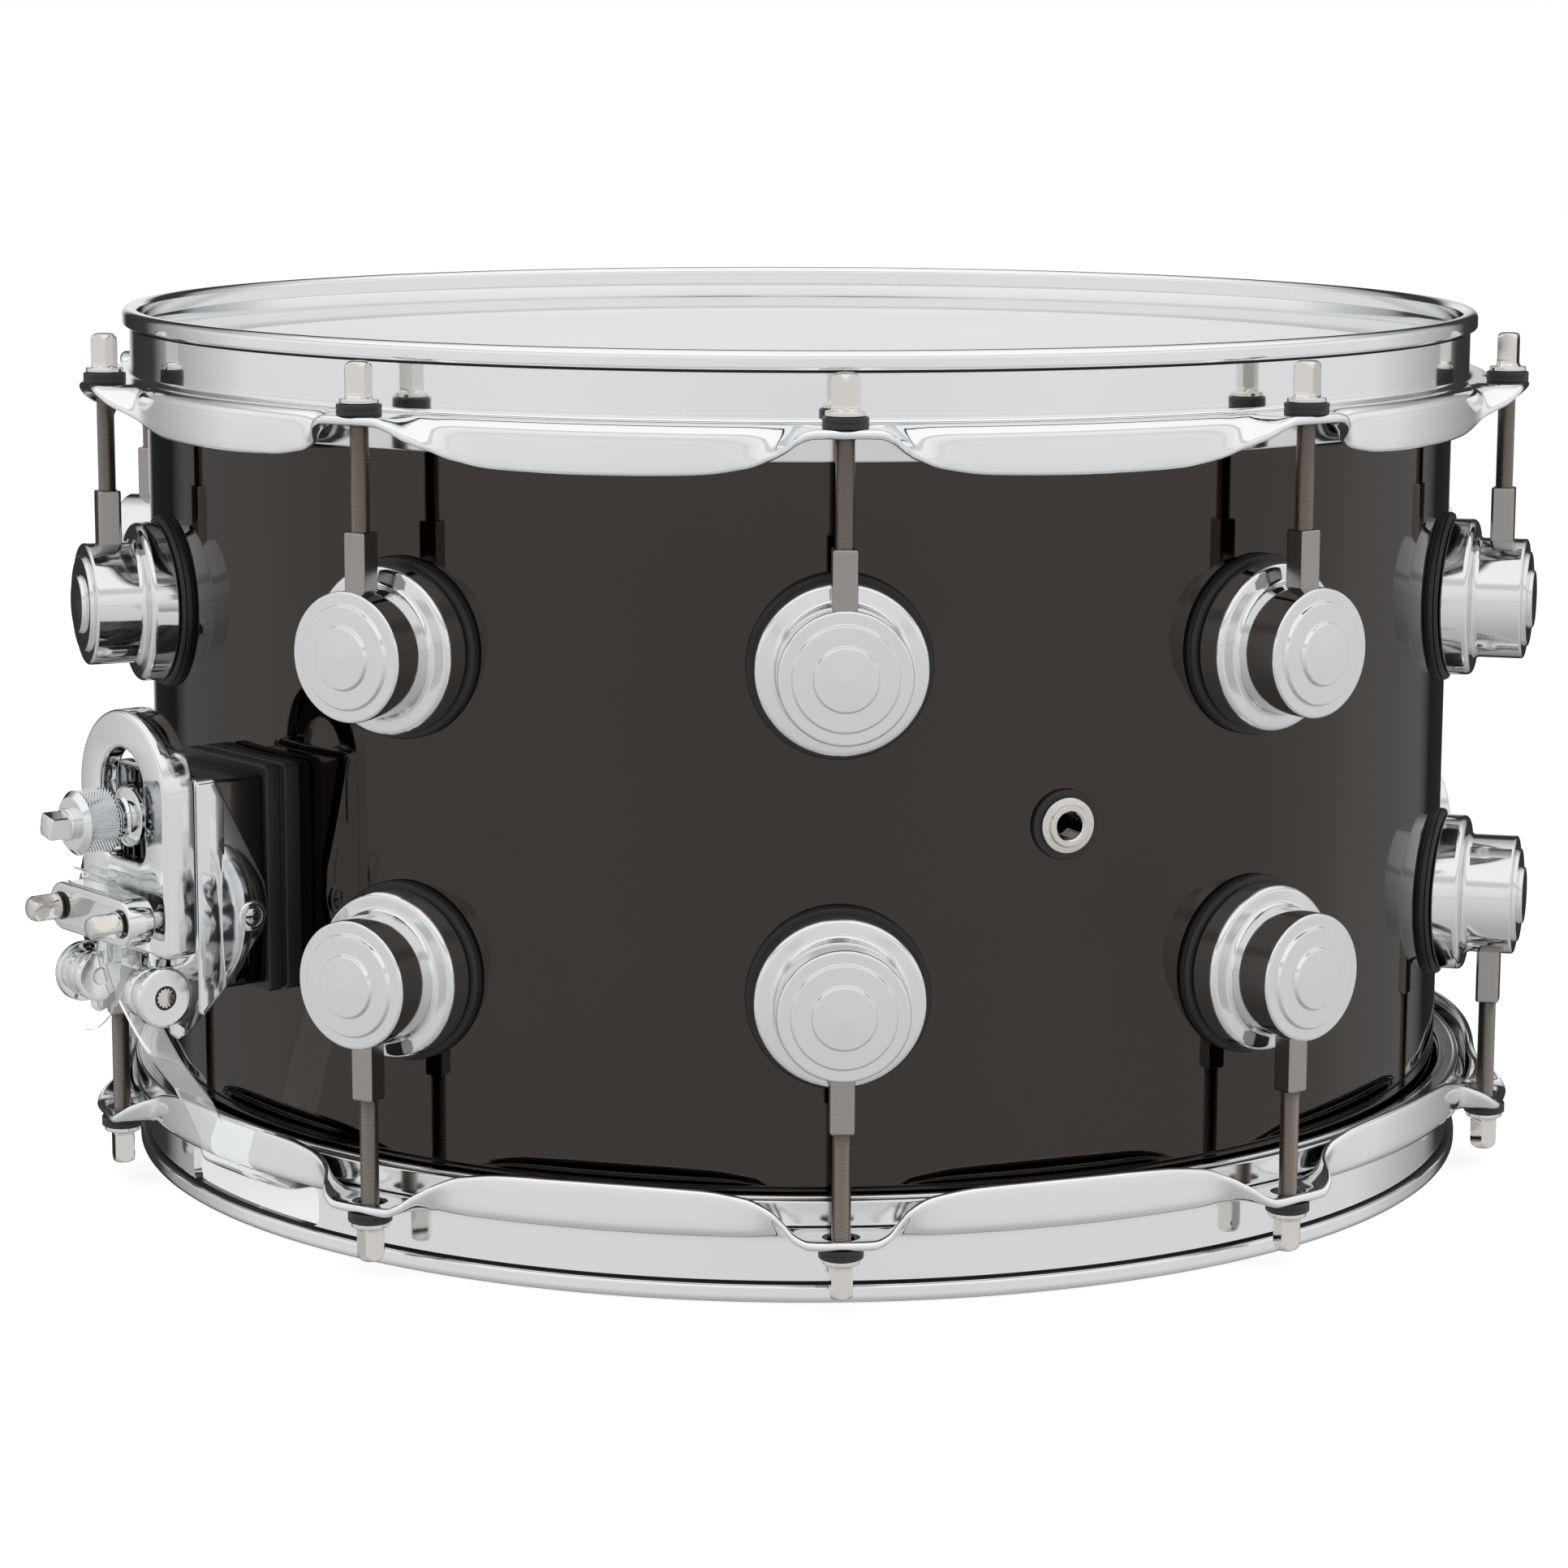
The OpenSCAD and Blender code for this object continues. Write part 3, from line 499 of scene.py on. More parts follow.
class DRUM_OT_shell(bpy.types.Operator):
    """Turns the thin metal shell with its bearing edges and vent"""
    bl_idname = "drum.shell"
    bl_label = "Shell"

    def execute(self, context):
        s = sizes()
        r = s.shell_radius / MM
        low = s.shell_edge / MM
        high = s.height / MM - low
        wall = 1.5
        bands = 24  # the outside is split into bands, so that its shading stays even
        straight = low + 4.3, high - 4.3
        profile = [(r, low + 4)]
        profile += [(r, straight[0] + (straight[1] - straight[0]) * k / bands) for k in range(bands)]
        profile += [(r, straight[1]), (r, high - 4), (r - 0.8, high - 2), (r - 3, high),
                    (r - 3 - wall, high),
                    (r - wall, high - 5.5), (r - wall, low + 5.5), (r - 3 - wall, low), (r - 3, low),
                    (r - 0.8, low + 2)]
        blank = Blank().lathe(profile, 480, closed=True)
        shell = blank.piece("shell_wall", ["black nickel"], "drum", "black_nickel", ["shell"], 30)
        vent = 5.0
        carve(shell, Blank().lathe([(0, 160), (vent, 160), (vent, 195), (0, 195)], 64, vent_place()))
        smooth(shell.data, 30)
        return {"FINISHED"}


class DRUM_OT_vent(bpy.types.Operator):
    """Fits the air vent's gasket and turned grommet"""
    bl_idname = "drum.vent"
    bl_label = "Air vent"

    def execute(self, context):
        place = vent_place()
        ring = soften([(4.95, 176.2), (8.6, 176.2), (8.6, 178.3), (4.95, 178.3)], [0.1, 0.1, 0.55, 0.1])
        Blank().lathe(ring, 96, place, closed=True).piece(
            "vent_seal", ["black rubber"], "drum", "black_rubber", ["vent_gasket"])
        grommet = soften([(3.3, 172.4), (4.85, 172.4), (4.85, 178.35), (6.8, 178.35), (6.8, 179.3),
                          (5.25, 179.55),
                          (5.05, 180.5), (3.75, 180.5), (3.3, 180.0)],
                         [0.1, 0.2, 0.05, 0.25, 0.35, 0.12, 0.3, 0.2, 0.2])
        Blank().lathe(grommet, 96, place, closed=True).piece(
            "vent_eyelet", ["bright nickel"], "drum", "satin_nickel", ["vent_grommet"])
        return {"FINISHED"}


class DRUM_OT_heads(bpy.types.Operator):
    """Stretches the coated batter head and the clear snare-side head over their edges"""
    bl_idname = "drum.heads"
    bl_label = "Heads"

    def execute(self, context):
        s = sizes()
        edge = s.shell_radius / MM - 3
        face = s.shell_edge / MM
        film = 0.25
        outer = [(0, face - film)] + [(edge * k / 12, face - film) for k in range(1, 12)]
        outer += [(edge - 2, face - film), (edge + 0.2, face - film + 0.05), (edge + 1.6, face + 1.0),
                  (edge + 3.1, face + 3.2), (177.5, face + 5), (178.5, 23.5)]
        inner = [(178.3, 23.6), (177.22, face + 5), (edge + 2.95, face + 3.4), (edge + 1.4, face + 1.2),
                 (edge + 0.1, face + 0.2), (edge - 2, face - 0.02), (0, face - 0.02)]
        for name, label, slot, node, matrix in (
                ("coated_head", "white coating", "coated_film", "batter_head", batter_side()),
                ("clear_head", "clear film", "clear_film", "snare_head", STAY)):
            Blank().lathe((outer + inner)[::-1], 256, matrix).piece(name, [label], "drum", slot, [node],
                    40)
        return {"FINISHED"}


class DRUM_OT_flesh_hoops(bpy.types.Operator):
    """Rolls the two aluminium flesh hoops that hold the films"""
    bl_idname = "drum.flesh_hoops"
    bl_label = "Flesh hoops"

    def execute(self, context):
        foot = sizes().ear_height / MM + 2.4
        channel = soften([(178.6, foot), (184, foot), (184, foot + 6.5), (182.6, foot + 6.5),
                          (182.4, foot + 6.1),
                          (180.2, foot + 6.1), (180, foot + 6.5), (178.6, foot + 6.5)],
                         [0.3, 0.9, 0.9, 0.2, 0.2, 0.2, 0.2, 0.3])
        for name, node, matrix in (("upper_flesh_ring", "batter_flesh_hoop", batter_side()),
                                   ("lower_flesh_ring", "snare_flesh_hoop", STAY)):
            Blank().lathe(channel[::-1], 360, matrix, closed=True).piece(
                name, ["polished aluminium"], "drum", "hoop_channel", [node])
        return {"FINISHED"}


# ---------------------------------------------------------------- counter hoops

# millimetres along the rim from an ear's middle, with the flange's bend in degrees and its reach
BEND = [(0, 0), (7.6, 0.5), (9.5, 4), (11.6, 12), (14.4, 36), (16, 56), (18, 73), (20.5, 84), (23.6, 88),
        (33, 90), (45, 90)]
REACH = [(0, 11.2), (7.6, 11.2), (9.5, 10.7), (11.6, 9.5), (14.4, 6.6), (16, 5.4), (18, 5.1), (20.5, 5.7),
         (23.6, 6.4), (33, 7.7), (59, 8.3)]
SHEET = 2.3
RIM_GROOVE = 181.3
FOLD_STEPS = 6
RUN_STEPS = 4
NOSE_STEPS = 8


def hoop_section(offset):
    """Closed section of a hoop at a distance along the rim from the nearest ear, as radius and depth."""
    ear = sizes().ear_height / MM
    bend = math.radians(blend_points(BEND, offset))
    # the bend is rounder where the flange turns from ear to skirt
    tight = 3.0
    outer_bend = tight + 2.2 * math.exp(-((offset - 14.5) / 4.5) ** 2)
    shift = (outer_bend - tight) * math.tan(bend / 2)
    start = 185.0 - shift
    reach = blend_points(REACH, offset) - shift
    out_x, out_y = math.cos(bend), math.sin(bend)
    in_x, in_y = -out_y, out_x

    def fold(radius, lift):
        return [(start + radius * math.sin(a), ear + lift + radius * (1 - math.cos(a)))
                for a in (bend * k / FOLD_STEPS for k in range(FOLD_STEPS + 1))]

    def run(foot_x, foot_y):
        return [(foot_x + out_x * reach * k / RUN_STEPS, foot_y + out_y * reach * k / RUN_STEPS)
                for k in range(1, RUN_STEPS + 1)]

    rim = soften([(179.0, 5.2), (179.0, 0), (183.2, 0), (183.2, 4.5), (180.5, 4.7), (180.5, 5.25),
                  (RIM_GROOVE, 5.3)], [0.3, 1.7, 1.9, 0.8, 0, 0, 0.1], 6)
    wall = [(RIM_GROOVE, depth) for depth in (6.2, 9, 12, 14.4)]
    crook = arc(182.5, 15.8, 1.2, 180, 90, 5)
    shelf = [(start - 1.0, ear), (start - 0.5, ear)]
    fold_out = fold(outer_bend, 0)
    corner_x, corner_y = fold_out[-1]
    run_out = run(corner_x, corner_y)
    lip = SHEET / 2
    nose_x, nose_y = run_out[-1][0] + in_x * lip, run_out[-1][1] + in_y * lip
    nose = []
    for k in range(1, NOSE_STEPS):
        a = math.pi * k / NOSE_STEPS
        nose.append((nose_x - in_x * lip * math.cos(a) + out_x * lip * math.sin(a),
                     nose_y - in_y * lip * math.cos(a) + out_y * lip * math.sin(a)))
    run_in = run(corner_x + in_x * SHEET, corner_y + in_y * SHEET)[::-1]
    fold_in = fold(outer_bend - SHEET, SHEET)[::-1]
    back = [(start - 0.9, ear + SHEET), (RIM_GROOVE, ear + SHEET), (180.2, ear + SHEET),
            (179.4, ear + 1.9),
            (179.0, ear + 1), (179.0, 14), (179.0, 10), (179.0, 6.2)]
    return rim + wall + crook + shelf + fold_out + run_out + nose + run_in + fold_in + back


def hoop_blank(matrix):
    """A hoop skinned over its sections, which lie closest together where the flange bends."""
    offsets = [0, 2, 4, 6, 7.2, 8.2, 9, 9.8, 10.6, 11.4, 12.2, 13, 13.8, 14.6, 15.4, 16.2, 17, 18, 19.2,
               20.6,
               22.4, 24.6, 27, 30, 33, 36, 40, 44, 49, 54]
    signed = [-o for o in offsets[:0:-1]] + offsets
    half_turn = 180.0 / LUGS
    half_arc = math.radians(half_turn) * 188
    turns = []
    for centre in lug_turns():
        turns += [(centre + half_turn * o / half_arc, abs(o)) for o in signed]
        turns.append((centre + half_turn, half_arc))
    rings = []
    for phi, offset in turns:
        a = math.radians(phi - 90)
        rings.append([(r * math.cos(a), r * math.sin(a), h) for r, h in hoop_section(offset)])
    return Blank().skin(rings, matrix, wrap=True)


def ear_cutters(matrix):
    """Oval slots for the rods, one through each ear."""
    cutter = Blank()
    s = sizes()
    ear = s.ear_height / MM
    slot_half, r = 0.75, 3.8
    outline = ([(x, y + slot_half) for x, y in arc(0, 0, r, 0, 180, 20)]
               + [(x, y - slot_half) for x, y in arc(0, 0, r, 180, 360, 20)])
    rings = [[(s.rod_circle / MM + x, y, z) for x, y in outline] for z in (ear - 4, ear + 6)]
    for phi in lug_turns():
        cutter.skin(rings, matrix @ at_azimuth(phi), ends=True)
    return cutter


def gate_cutters():
    """The two windows that let the straps through the lower hoop."""
    cutter = Blank()
    outline = soften([(-30, 5), (30, 5), (30, 15.8), (-30, 15.8)], 3.0, 8)
    rings = [[(x, y, z) for y, z in outline] for x in (172, 184.4)]
    for phi in (THROWOFF, BUTT):
        cutter.skin(rings, at_azimuth(phi), ends=True)
    return cutter


class DRUM_OT_hoops(bpy.types.Operator):
    """Presses the two scalloped counter hoops with their rolled rims, ears and snare gates"""
    bl_idname = "drum.hoops"
    bl_label = "Counter hoops"

    def execute(self, context):
        for name, node, matrix, gates in (("batter_rim", "batter_hoop", batter_side(), False),
                                          ("snare_rim", "snare_hoop", STAY, True)):
            # the hoops' chrome is painted brighter to stand in for light, and the step under the rim gets
            # painted shade
            hoop = hoop_blank(matrix).piece(
                name, ["hoop chrome", "painted shade"], "drum", "chrome_steel", [node], 40)
            # the thin step under the rolled rim is in shadow, so its faces get painted shade
            for polygon in hoop.data.polygons:
                radius = polygon.center.xy.length / MM
                depth = (polygon.center.z if gates else sizes().height - polygon.center.z) / MM
                if 179.7 < radius < 182.2 and 4.58 < depth < 5.3:
                    polygon.material_index = 1
            face_outwards(hoop.data)
            carve(hoop, ear_cutters(matrix))
            if gates:
                carve(hoop, gate_cutters())
            smooth(hoop.data, 38)
        return {"FINISHED"}


# ---------------------------------------------------------------- lugs

class DRUM_OT_lugs(bpy.types.Operator):
    """Turns the turret lugs, their gaskets and the square receiver tubes"""
    bl_idname = "drum.lugs"
    bl_label = "Turret lugs"

    def execute(self, context):
        s = sizes()
        low = s.lug_height / MM
        high = s.height / MM - low
        turret = soften([(CORE, 179.4), (20.7, 179.4), (20.7, 185.5), (15.85, 186.2), (15.85, 198.9),
                         (12.75, 199.0),
                         (12.35, 199.95), (7.85, 200.1), (7.45, 201.1), (CORE, 201.5)],
                        [0, 0.7, 1.6, 1.5, 0.75, 0.3, 0.35, 0.25, 0.4, 0], 7)
        gasket = soften([(3.2, 173), (22.3, 173), (22.3, 178.6), (21.9, 179.4), (3.2, 179.4)],
                        [0, 0, 0.3, 0.3, 0], 4)
        seals = Blank()
        shell = s.shell_radius / MM
        for name, node, z in (("upper_turrets", "batter_lugs", high),
                              ("lower_turrets", "snare_lugs", low)):
            turrets = Blank()
            for phi in lug_turns():
                place = at_azimuth(phi) @ Matrix.Translation((0, 0, z)) @ AXIS_X
                bottom = len(turrets.verts)
                turrets.lathe(turret, 128, place)
                self.scoop(turrets.verts, bottom, place, shell)
                self.saddle(seals, gasket, shell - 0.02, place)
            turrets.piece(name, ["lug chrome"], "drum", "chrome_lug", [node], 50)
        seals.piece("lug_seals", ["black rubber"], "drum", "black_rubber", ["lug_gaskets"], 40)
        for name, node, z, up in (("upper_receivers", "batter_receivers", high, 1),
                                  ("lower_receivers", "snare_receivers", low, -1)):
            tubes = Blank()
            for phi in lug_turns():
                self.receiver(tubes, at_azimuth(phi) @ Matrix.Translation((s.rod_circle / MM, 0, z))
                              @ Matrix.Diagonal((1, 1, up, 1)))
            tubes.piece(name, ["satin nickel", "painted shade"], "drum", "satin_nickel", [node], 40)
        return {"FINISHED"}

    @staticmethod
    def scoop(verts, first, place, radius):
        """Draws a turret's foot back so that it follows the shell."""
        inward = place.inverted()
        for i in range(first, len(verts)):
            p = inward @ verts[i]
            if p.z < 180.3:
                p.z -= radius - math.sqrt(radius ** 2 - p.y ** 2)
                verts[i] = place @ p

    @staticmethod
    def saddle(blank, profile, radius, place):
        """A turned gasket whose back follows the shell, with a moulded groove round its side."""
        steps, rim = 96, 22.3
        groove = [(22.25, 178.1), (22.25, 178.25), (21.75, 178.45)]
        side = groove + [(r, x) for r, x in profile if x > 178.3]
        columns = []
        for k in range(steps):
            a = TAU * k / steps
            back = math.sqrt(radius ** 2 - (rim * math.sin(a)) ** 2)
            column = [(rim, back), (rim, back + 1.0)] + [(r, x + back - 177.0) for r,
                                                         x in side] + [(4.0, 179.3)]
            columns.append([(r * math.cos(a), r * math.sin(a), x) for r, x in column])
        blank.skin([list(ring) for ring in zip(*columns)], place)

    @staticmethod
    def receiver(blank, matrix):
        """A square tube with rounded edges, a small chamfer at its mouth and a bore painted dark as
        shade.
        """
        top = 29.4

        def square(half, z):
            return [(x, y, z) for x, y in box_outline(-half, half, -half, half, 0.8, 6)]

        body = [square(half, z) for half, z in (
            (3.02, -7.9), (3.02, 12), (3.02, 20), (3.02, 28.7), (3.02, 28.9), (2.98, 29.15),
                                                (2.86, 29.35), (2.76, top))]
        angles = [math.atan2(y, x) for x, y, _ in body[-1]]
        bore = [[(r * math.cos(a), r * math.sin(a), z) for a in angles]
                for r, z in ((2.65, top), (2.45, top - 0.3), (2.45, top - 5))]
        blank.skin(body + bore[:1], matrix)
        # the bore's walls get painted shade
        blank.skin(bore, matrix, mark=1)


class DRUM_OT_inner_screws(bpy.types.Operator):
    """Sets the lug and mounting screws with their washers inside the shell"""
    bl_idname = "drum.inner_screws"
    bl_label = "Inner screws"

    def execute(self, context):
        for label, names in (("zinc steel", ("lug_screws", "lug_screw_washers", "mount_screws",
                                             "throwoff_magnets",
                                             "lever_keepers", "adjuster_post")),
                             ("bright steel", ("snare_end_plates",)),
                             ("black rubber", ("butt_gasket",))):
            for name in names:
                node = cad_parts[name]
                node.data.materials.clear()
                node.data.materials.append(paint(label))
        return {"FINISHED"}


# ---------------------------------------------------------------- tension rods

def key_head(blank, matrix, length_mm, flats=5.15, turned=3.42, scoop=1.4, crown=1.9):
    """A drum-key head with its free end at z = 0.

    It is a turned stub with a crown and four milled flats, which run out in a scoop.
    """
    half = flats / 2
    tip = 1.25
    around = 48
    angles = [TAU * (k + 0.5) / around for k in range(around)]
    rings = []
    levels = [0, 0.08, 0.25, 0.5, 0.85, 1.3, 1.8, 2.3]
    levels += [2.9 + (length_mm - scoop - 3.4) * k / 3 for k in range(4)]
    levels += [length_mm - scoop * (1 - k / 6) for k in range(7)]
    for z in levels:
        t = min(z / crown, 1.0)
        dome = tip + (turned - tip) * math.sqrt(max(0.0, 1 - (1 - t) ** 2.1))
        run = max(0.0, (z - (length_mm - scoop)) / scoop)
        flat = half + (turned - half) * (1 - math.sqrt(max(0.0, 1 - run ** 2)))
        radii = [min(dome, flat / max(abs(math.cos(a)), abs(math.sin(a)))) for a in angles]
        rings.append([(r * math.cos(a), r * math.sin(a), z) for r, a in zip(radii, angles)])
    blank.skin(rings, matrix)
    blank.add(rings[0], [tuple(range(around))[::-1]], matrix)


def threaded_shank(blank, matrix, z0, z1, outer, pitch, mark):
    """A helical V thread from z0 to z1."""
    steps = 14
    root = outer - 0.6 * pitch
    count = int((z1 - z0) / pitch * steps)
    verts = []
    for i in range(count + 1):
        a = TAU * i / steps
        z = z0 + pitch * i / steps
        # the crest is a trace lower once the thread has run in
        crest = outer - 0.03 * pitch * min(1.0, i / steps, (count - i) / steps)
        verts += [(crest * math.cos(a), crest * math.sin(a), z),
                  (root * math.cos(a), root * math.sin(a), z + 0.5 * pitch)]
    faces = []
    for i in range(count):
        faces.append((2 * i, 2 * i + 2, 2 * i + 3, 2 * i + 1))
        if i + 1 + steps <= count:
            j = i + steps
            faces.append((2 * i + 1, 2 * i + 3, 2 * j + 2, 2 * j))
    blank.add(verts, faces, matrix, mark)


class DRUM_OT_rods(bpy.types.Operator):
    """Makes the twenty tension rods with key heads and rolled threads, and their nylon washers"""
    bl_idname = "drum.rods"
    bl_label = "Tension rods"

    def execute(self, context):
        s = sizes()
        ear = s.ear_height / MM
        seat = ear - 2.7
        lug = s.lug_height / MM
        collar = soften([(0.5, seat - 1.3), (4.75, seat - 1.3), (4.75, seat), (0.5, seat)],
                        [0, 0.4, 0.3, 0], 4)
        shank = [(2.0, seat), (2.0, seat + 3.4), (2.3, seat + 3.9)]
        at_ear = Matrix.Translation((s.rod_circle / MM, 0, 0))
        for side, matrix, first_turn in (("batter", batter_side(), 41), ("snare", STAY, 4)):
            for k, phi in enumerate(lug_turns()):
                place = matrix @ at_azimuth(phi) @ at_ear
                # every head has stopped at a turn of its own
                spun = place @ Matrix.Rotation(math.radians((k * 67 + first_turn) % 90), 4, "Z")
                blank = Blank()
                key_head(blank, spun @ Matrix.Translation((0, 0, seat - 10.1)), 8.8)
                blank.lathe(collar, 64, place)
                blank.lathe(shank, 32, place)
                threaded_shank(blank, place, seat + 3.8, lug - 9, 2.4, s.thread_pitch / MM, mark=1)
                blank.lathe([(1.9, seat + 3.8), (1.96, lug - 8.2), (0, lug - 8.1)], 24, place, mark=1)
                name = f"{side}_rod_{k + 1}"
                blank.piece("made_" + name, ["rod nickel", "rod thread"], name, "rod_nickel", [name], 32)
        washers = Blank()
        ring = soften([(2.5, ear - 2.65), (5.45, ear - 2.65), (5.45, ear - 1.5), (5.3, ear - 1.32),
                       (5.45, ear - 1.15),
                       (5.45, ear), (2.5, ear)], [0.15, 0.35, 0.08, 0.08, 0.08, 0.3, 0.15], 4)
        for matrix in (STAY, batter_side()):
            for phi in lug_turns():
                washers.lathe(ring, 64, matrix @ at_azimuth(phi) @ at_ear, closed=True)
        washers.piece("nylon_washers", ["black nylon"], "drum", "black_nylon", ["rod_washers"], 40)
        return {"FINISHED"}


# ---------------------------------------------------------------- throw-off

def throwoff_place():
    """The throw-off's frame: X outwards, Y along the shell and Z up."""
    return at_azimuth(THROWOFF)


def stand_on_side():
    """Turns a plate made of outlines of X and Z, so that its thickness lies along Y."""
    return Matrix(((0, 1, 0, 0), (1, 0, 0, 0), (0, 0, 1, 0), (0, 0, 0, 1)))


class DRUM_OT_throwoff_base(bpy.types.Operator):
    """Builds the throw-off's rubber isolator, black block and chrome housing"""
    bl_idname = "drum.throwoff_base"
    bl_label = "Throw-off base"

    def execute(self, context):
        place = throwoff_place()
        pads = Blank()
        pad = box_outline(-19.5, 19.5, 64.6, 121.9, 1.6)
        waist = box_outline(-18.9, 18.9, 65.2, 121.3, 1.4)
        for outline, back, front, bevel in ((pad, 174.6, 180.2, 0.5), (waist, 179.9, 181.4, 0.1),
                                            (pad, 181.2, 185.6, 0.7)):
            pads.plate([outline], back, front, bevel, place)
        pads.piece("isolator", ["black rubber"], "drum", "black_rubber", ["throwoff_gasket"], 40)
        block = Blank().plate([box_outline(-17.95, 17.95, 67, 119.5, 1.0)], 185.6, 203.1, 0.4, place)
        block.piece("stand_off_block", ["black gloss"], "drum", "black_block", ["throwoff_block"], 40)
        self.housing(place)
        self.pins(place)
        self.side_screws(place)
        return {"FINISHED"}

    def housing(self, place):
        """Two side plates with strips, ears, bosses and cheeks, and the front between them."""
        cast = Blank()
        side = soften([(206.4, 120.5), (200.5, 120.5), (186.6, 93.0), (185.8, 86), (187.4, 81.0),
                       (196.5, 69.5),
                       (209.4, 57.6), (212.2, 56.6), (213.8, 58), (214.2, 61), (222.2, 63.6),
                       (223.6, 67.7),
                       (220.6, 74.2), (213.6, 75.0), (209.4, 75.6), (207.0, 78.8), (206.4, 82.5)],
                      [0.8, 1.2, 5, 4.5, 5, 5, 3, 0.8, 0.8, 0.6, 5, 5, 5, 3, 3, 4, 5], 7)
        strip = soften([(206.2, 119.7), (200.8, 119.7), (198.4, 114.9), (198.4, 68.2), (206.2, 60.6)],
                       1.0, 5)
        ear = soften([(2.15, 14.6), (6.0, 14.6), (6.0, 18.0), (7.6, 18.2), (7.6, 20.8), (2.95, 20.8),
                      (2.95, 20.3),
                      (2.15, 20.3)], [0, 0.3, 0.2, 0.4, 0.9, 0.15, 0, 0], 5)
        boss = soften([(CORE, 18.2), (4.3, 18.2), (3.9, 21.2), (2.5, 21.2), (2.5, 20.7), (CORE, 20.7)],
                      [0, 0, 0.6, 0.1, 0, 0], 5)
        foot = box_outline(14.6, 20.0, 63, 71, 0.5, 5)
        for sign in (-1, 1):
            flip = mirrored(place, sign)
            turn = flip @ stand_on_side()
            cast.plate([side], 18.2, 20.2, 0.55, turn)
            cast.plate([strip], 19.9, 20.75, 0.3, turn)
            cast.lathe(ear, 72, lying_across(flip, PIN), closed=True)
            cast.lathe(boss, 64, lying_across(flip, BOSS))
            self.cheek(cast, flip)
            cast.plate([foot], 203.4, 215.4, 0.4, flip)
        cast.plate([box_outline(-18.6, 18.6, 68, 120.4, 1.4)], 203.2, 206.3, 0.6, place)
        cast.piece("housing_casting", ["cast chrome"], "drum", "chrome_cast", ["throwoff_housing"], 38)

    @staticmethod
    def cheek(cast, matrix):
        """The D-shaped belly swelling out of the housing's side."""
        levels, around = 20, 64
        rings = []
        for k in range(levels + 1):
            swell = k / levels
            size = 1.0 - 0.34 * swell ** 2.2
            out = 20.1 + 0.75 * math.sin(0.5 * math.pi * swell)
            ring = []
            for a in (TAU * j / around for j in range(around)):
                # round towards the shell, nearly flat towards the lever
                bulge = 8.8 if math.cos(a) > 0 else 0.88
                ring.append((199.0 - bulge * size * math.cos(a), out, 86.5 + 17.5 * size * math.sin(a)))
            rings.append(ring)
        cast.skin(rings, matrix)
        cast.add(rings[-1], [tuple(range(around))], matrix)

    @staticmethod
    def pins(place):
        """The splined ends of the hinge pins, each in a counterbore shown by a ring of painted shade."""
        pins = Blank()
        around, face = 56, 1.9
        radii = [2.5 if (i // 2) % 2 else 2.15 for i in range(around)]
        splines = [[(r * math.cos(TAU * i / around), r * math.sin(TAU * i / around), y) for i,
                    r in enumerate(radii)]
                   for y in (20.3, 20.82)]
        for sign in (-1, 1):
            to_pin = lying_across(mirrored(place, sign), PIN)
            pins.lathe([(CORE, 10.1), (2.1, 10.1), (2.1, 20.32)], 48, to_pin)
            # a ring of painted shade stands for the counterbore round the pin
            pins.lathe([(2.1, 20.33), (3.2, 20.33)], 48, to_pin, mark=1)
            pins.skin(splines + [circle(face, 20.88, around)], to_pin)
            pins.lathe([(face, 20.88), (CORE, 20.95)], around, to_pin)
        pins.piece("splined_pins", ["bright nickel", "painted shade"], "drum", "satin_nickel", ["hinge_pins"],
                   35)

    @staticmethod
    def side_screws(place):
        """Slotted screws in the housing's sides: a slot of painted shade between two lobes."""
        screws = Blank()
        around, slot = 40, 0.3
        head = [(x, y) for x, y, _ in circle(1.95, 0, around)]
        for sign in (-1, 1):
            to_boss = lying_across(mirrored(place, sign), BOSS)
            # a ring of painted shade round the head
            screws.lathe([(2.0, 20.72), (2.6, 20.74)], 48, to_boss, mark=1)
            for half in (1, -1):
                lobe = sorted(((x, y) for x, y in head if y * half > slot), key=lambda p: -p[0] * half)
                foot, shoulder = ([(x, y, z) for x, y in lobe] for z in (20.6, 21.15))
                crown = [(x * 0.9, y * 0.9 + 0.03 * half, 21.25) for x, y in lobe]
                screws.skin([foot, shoulder, crown], to_boss)
                screws.add(crown, [tuple(range(len(crown)))], to_boss)
            # the slot's floor is painted shade
            screws.lathe([(CORE, 20.75), (1.9, 20.75)], around, to_boss, mark=1)
        screws.piece(
            "side_screws", ["bright nickel", "painted shade"], "drum", "satin_nickel",
                     ["housing_side_screws"], 35)


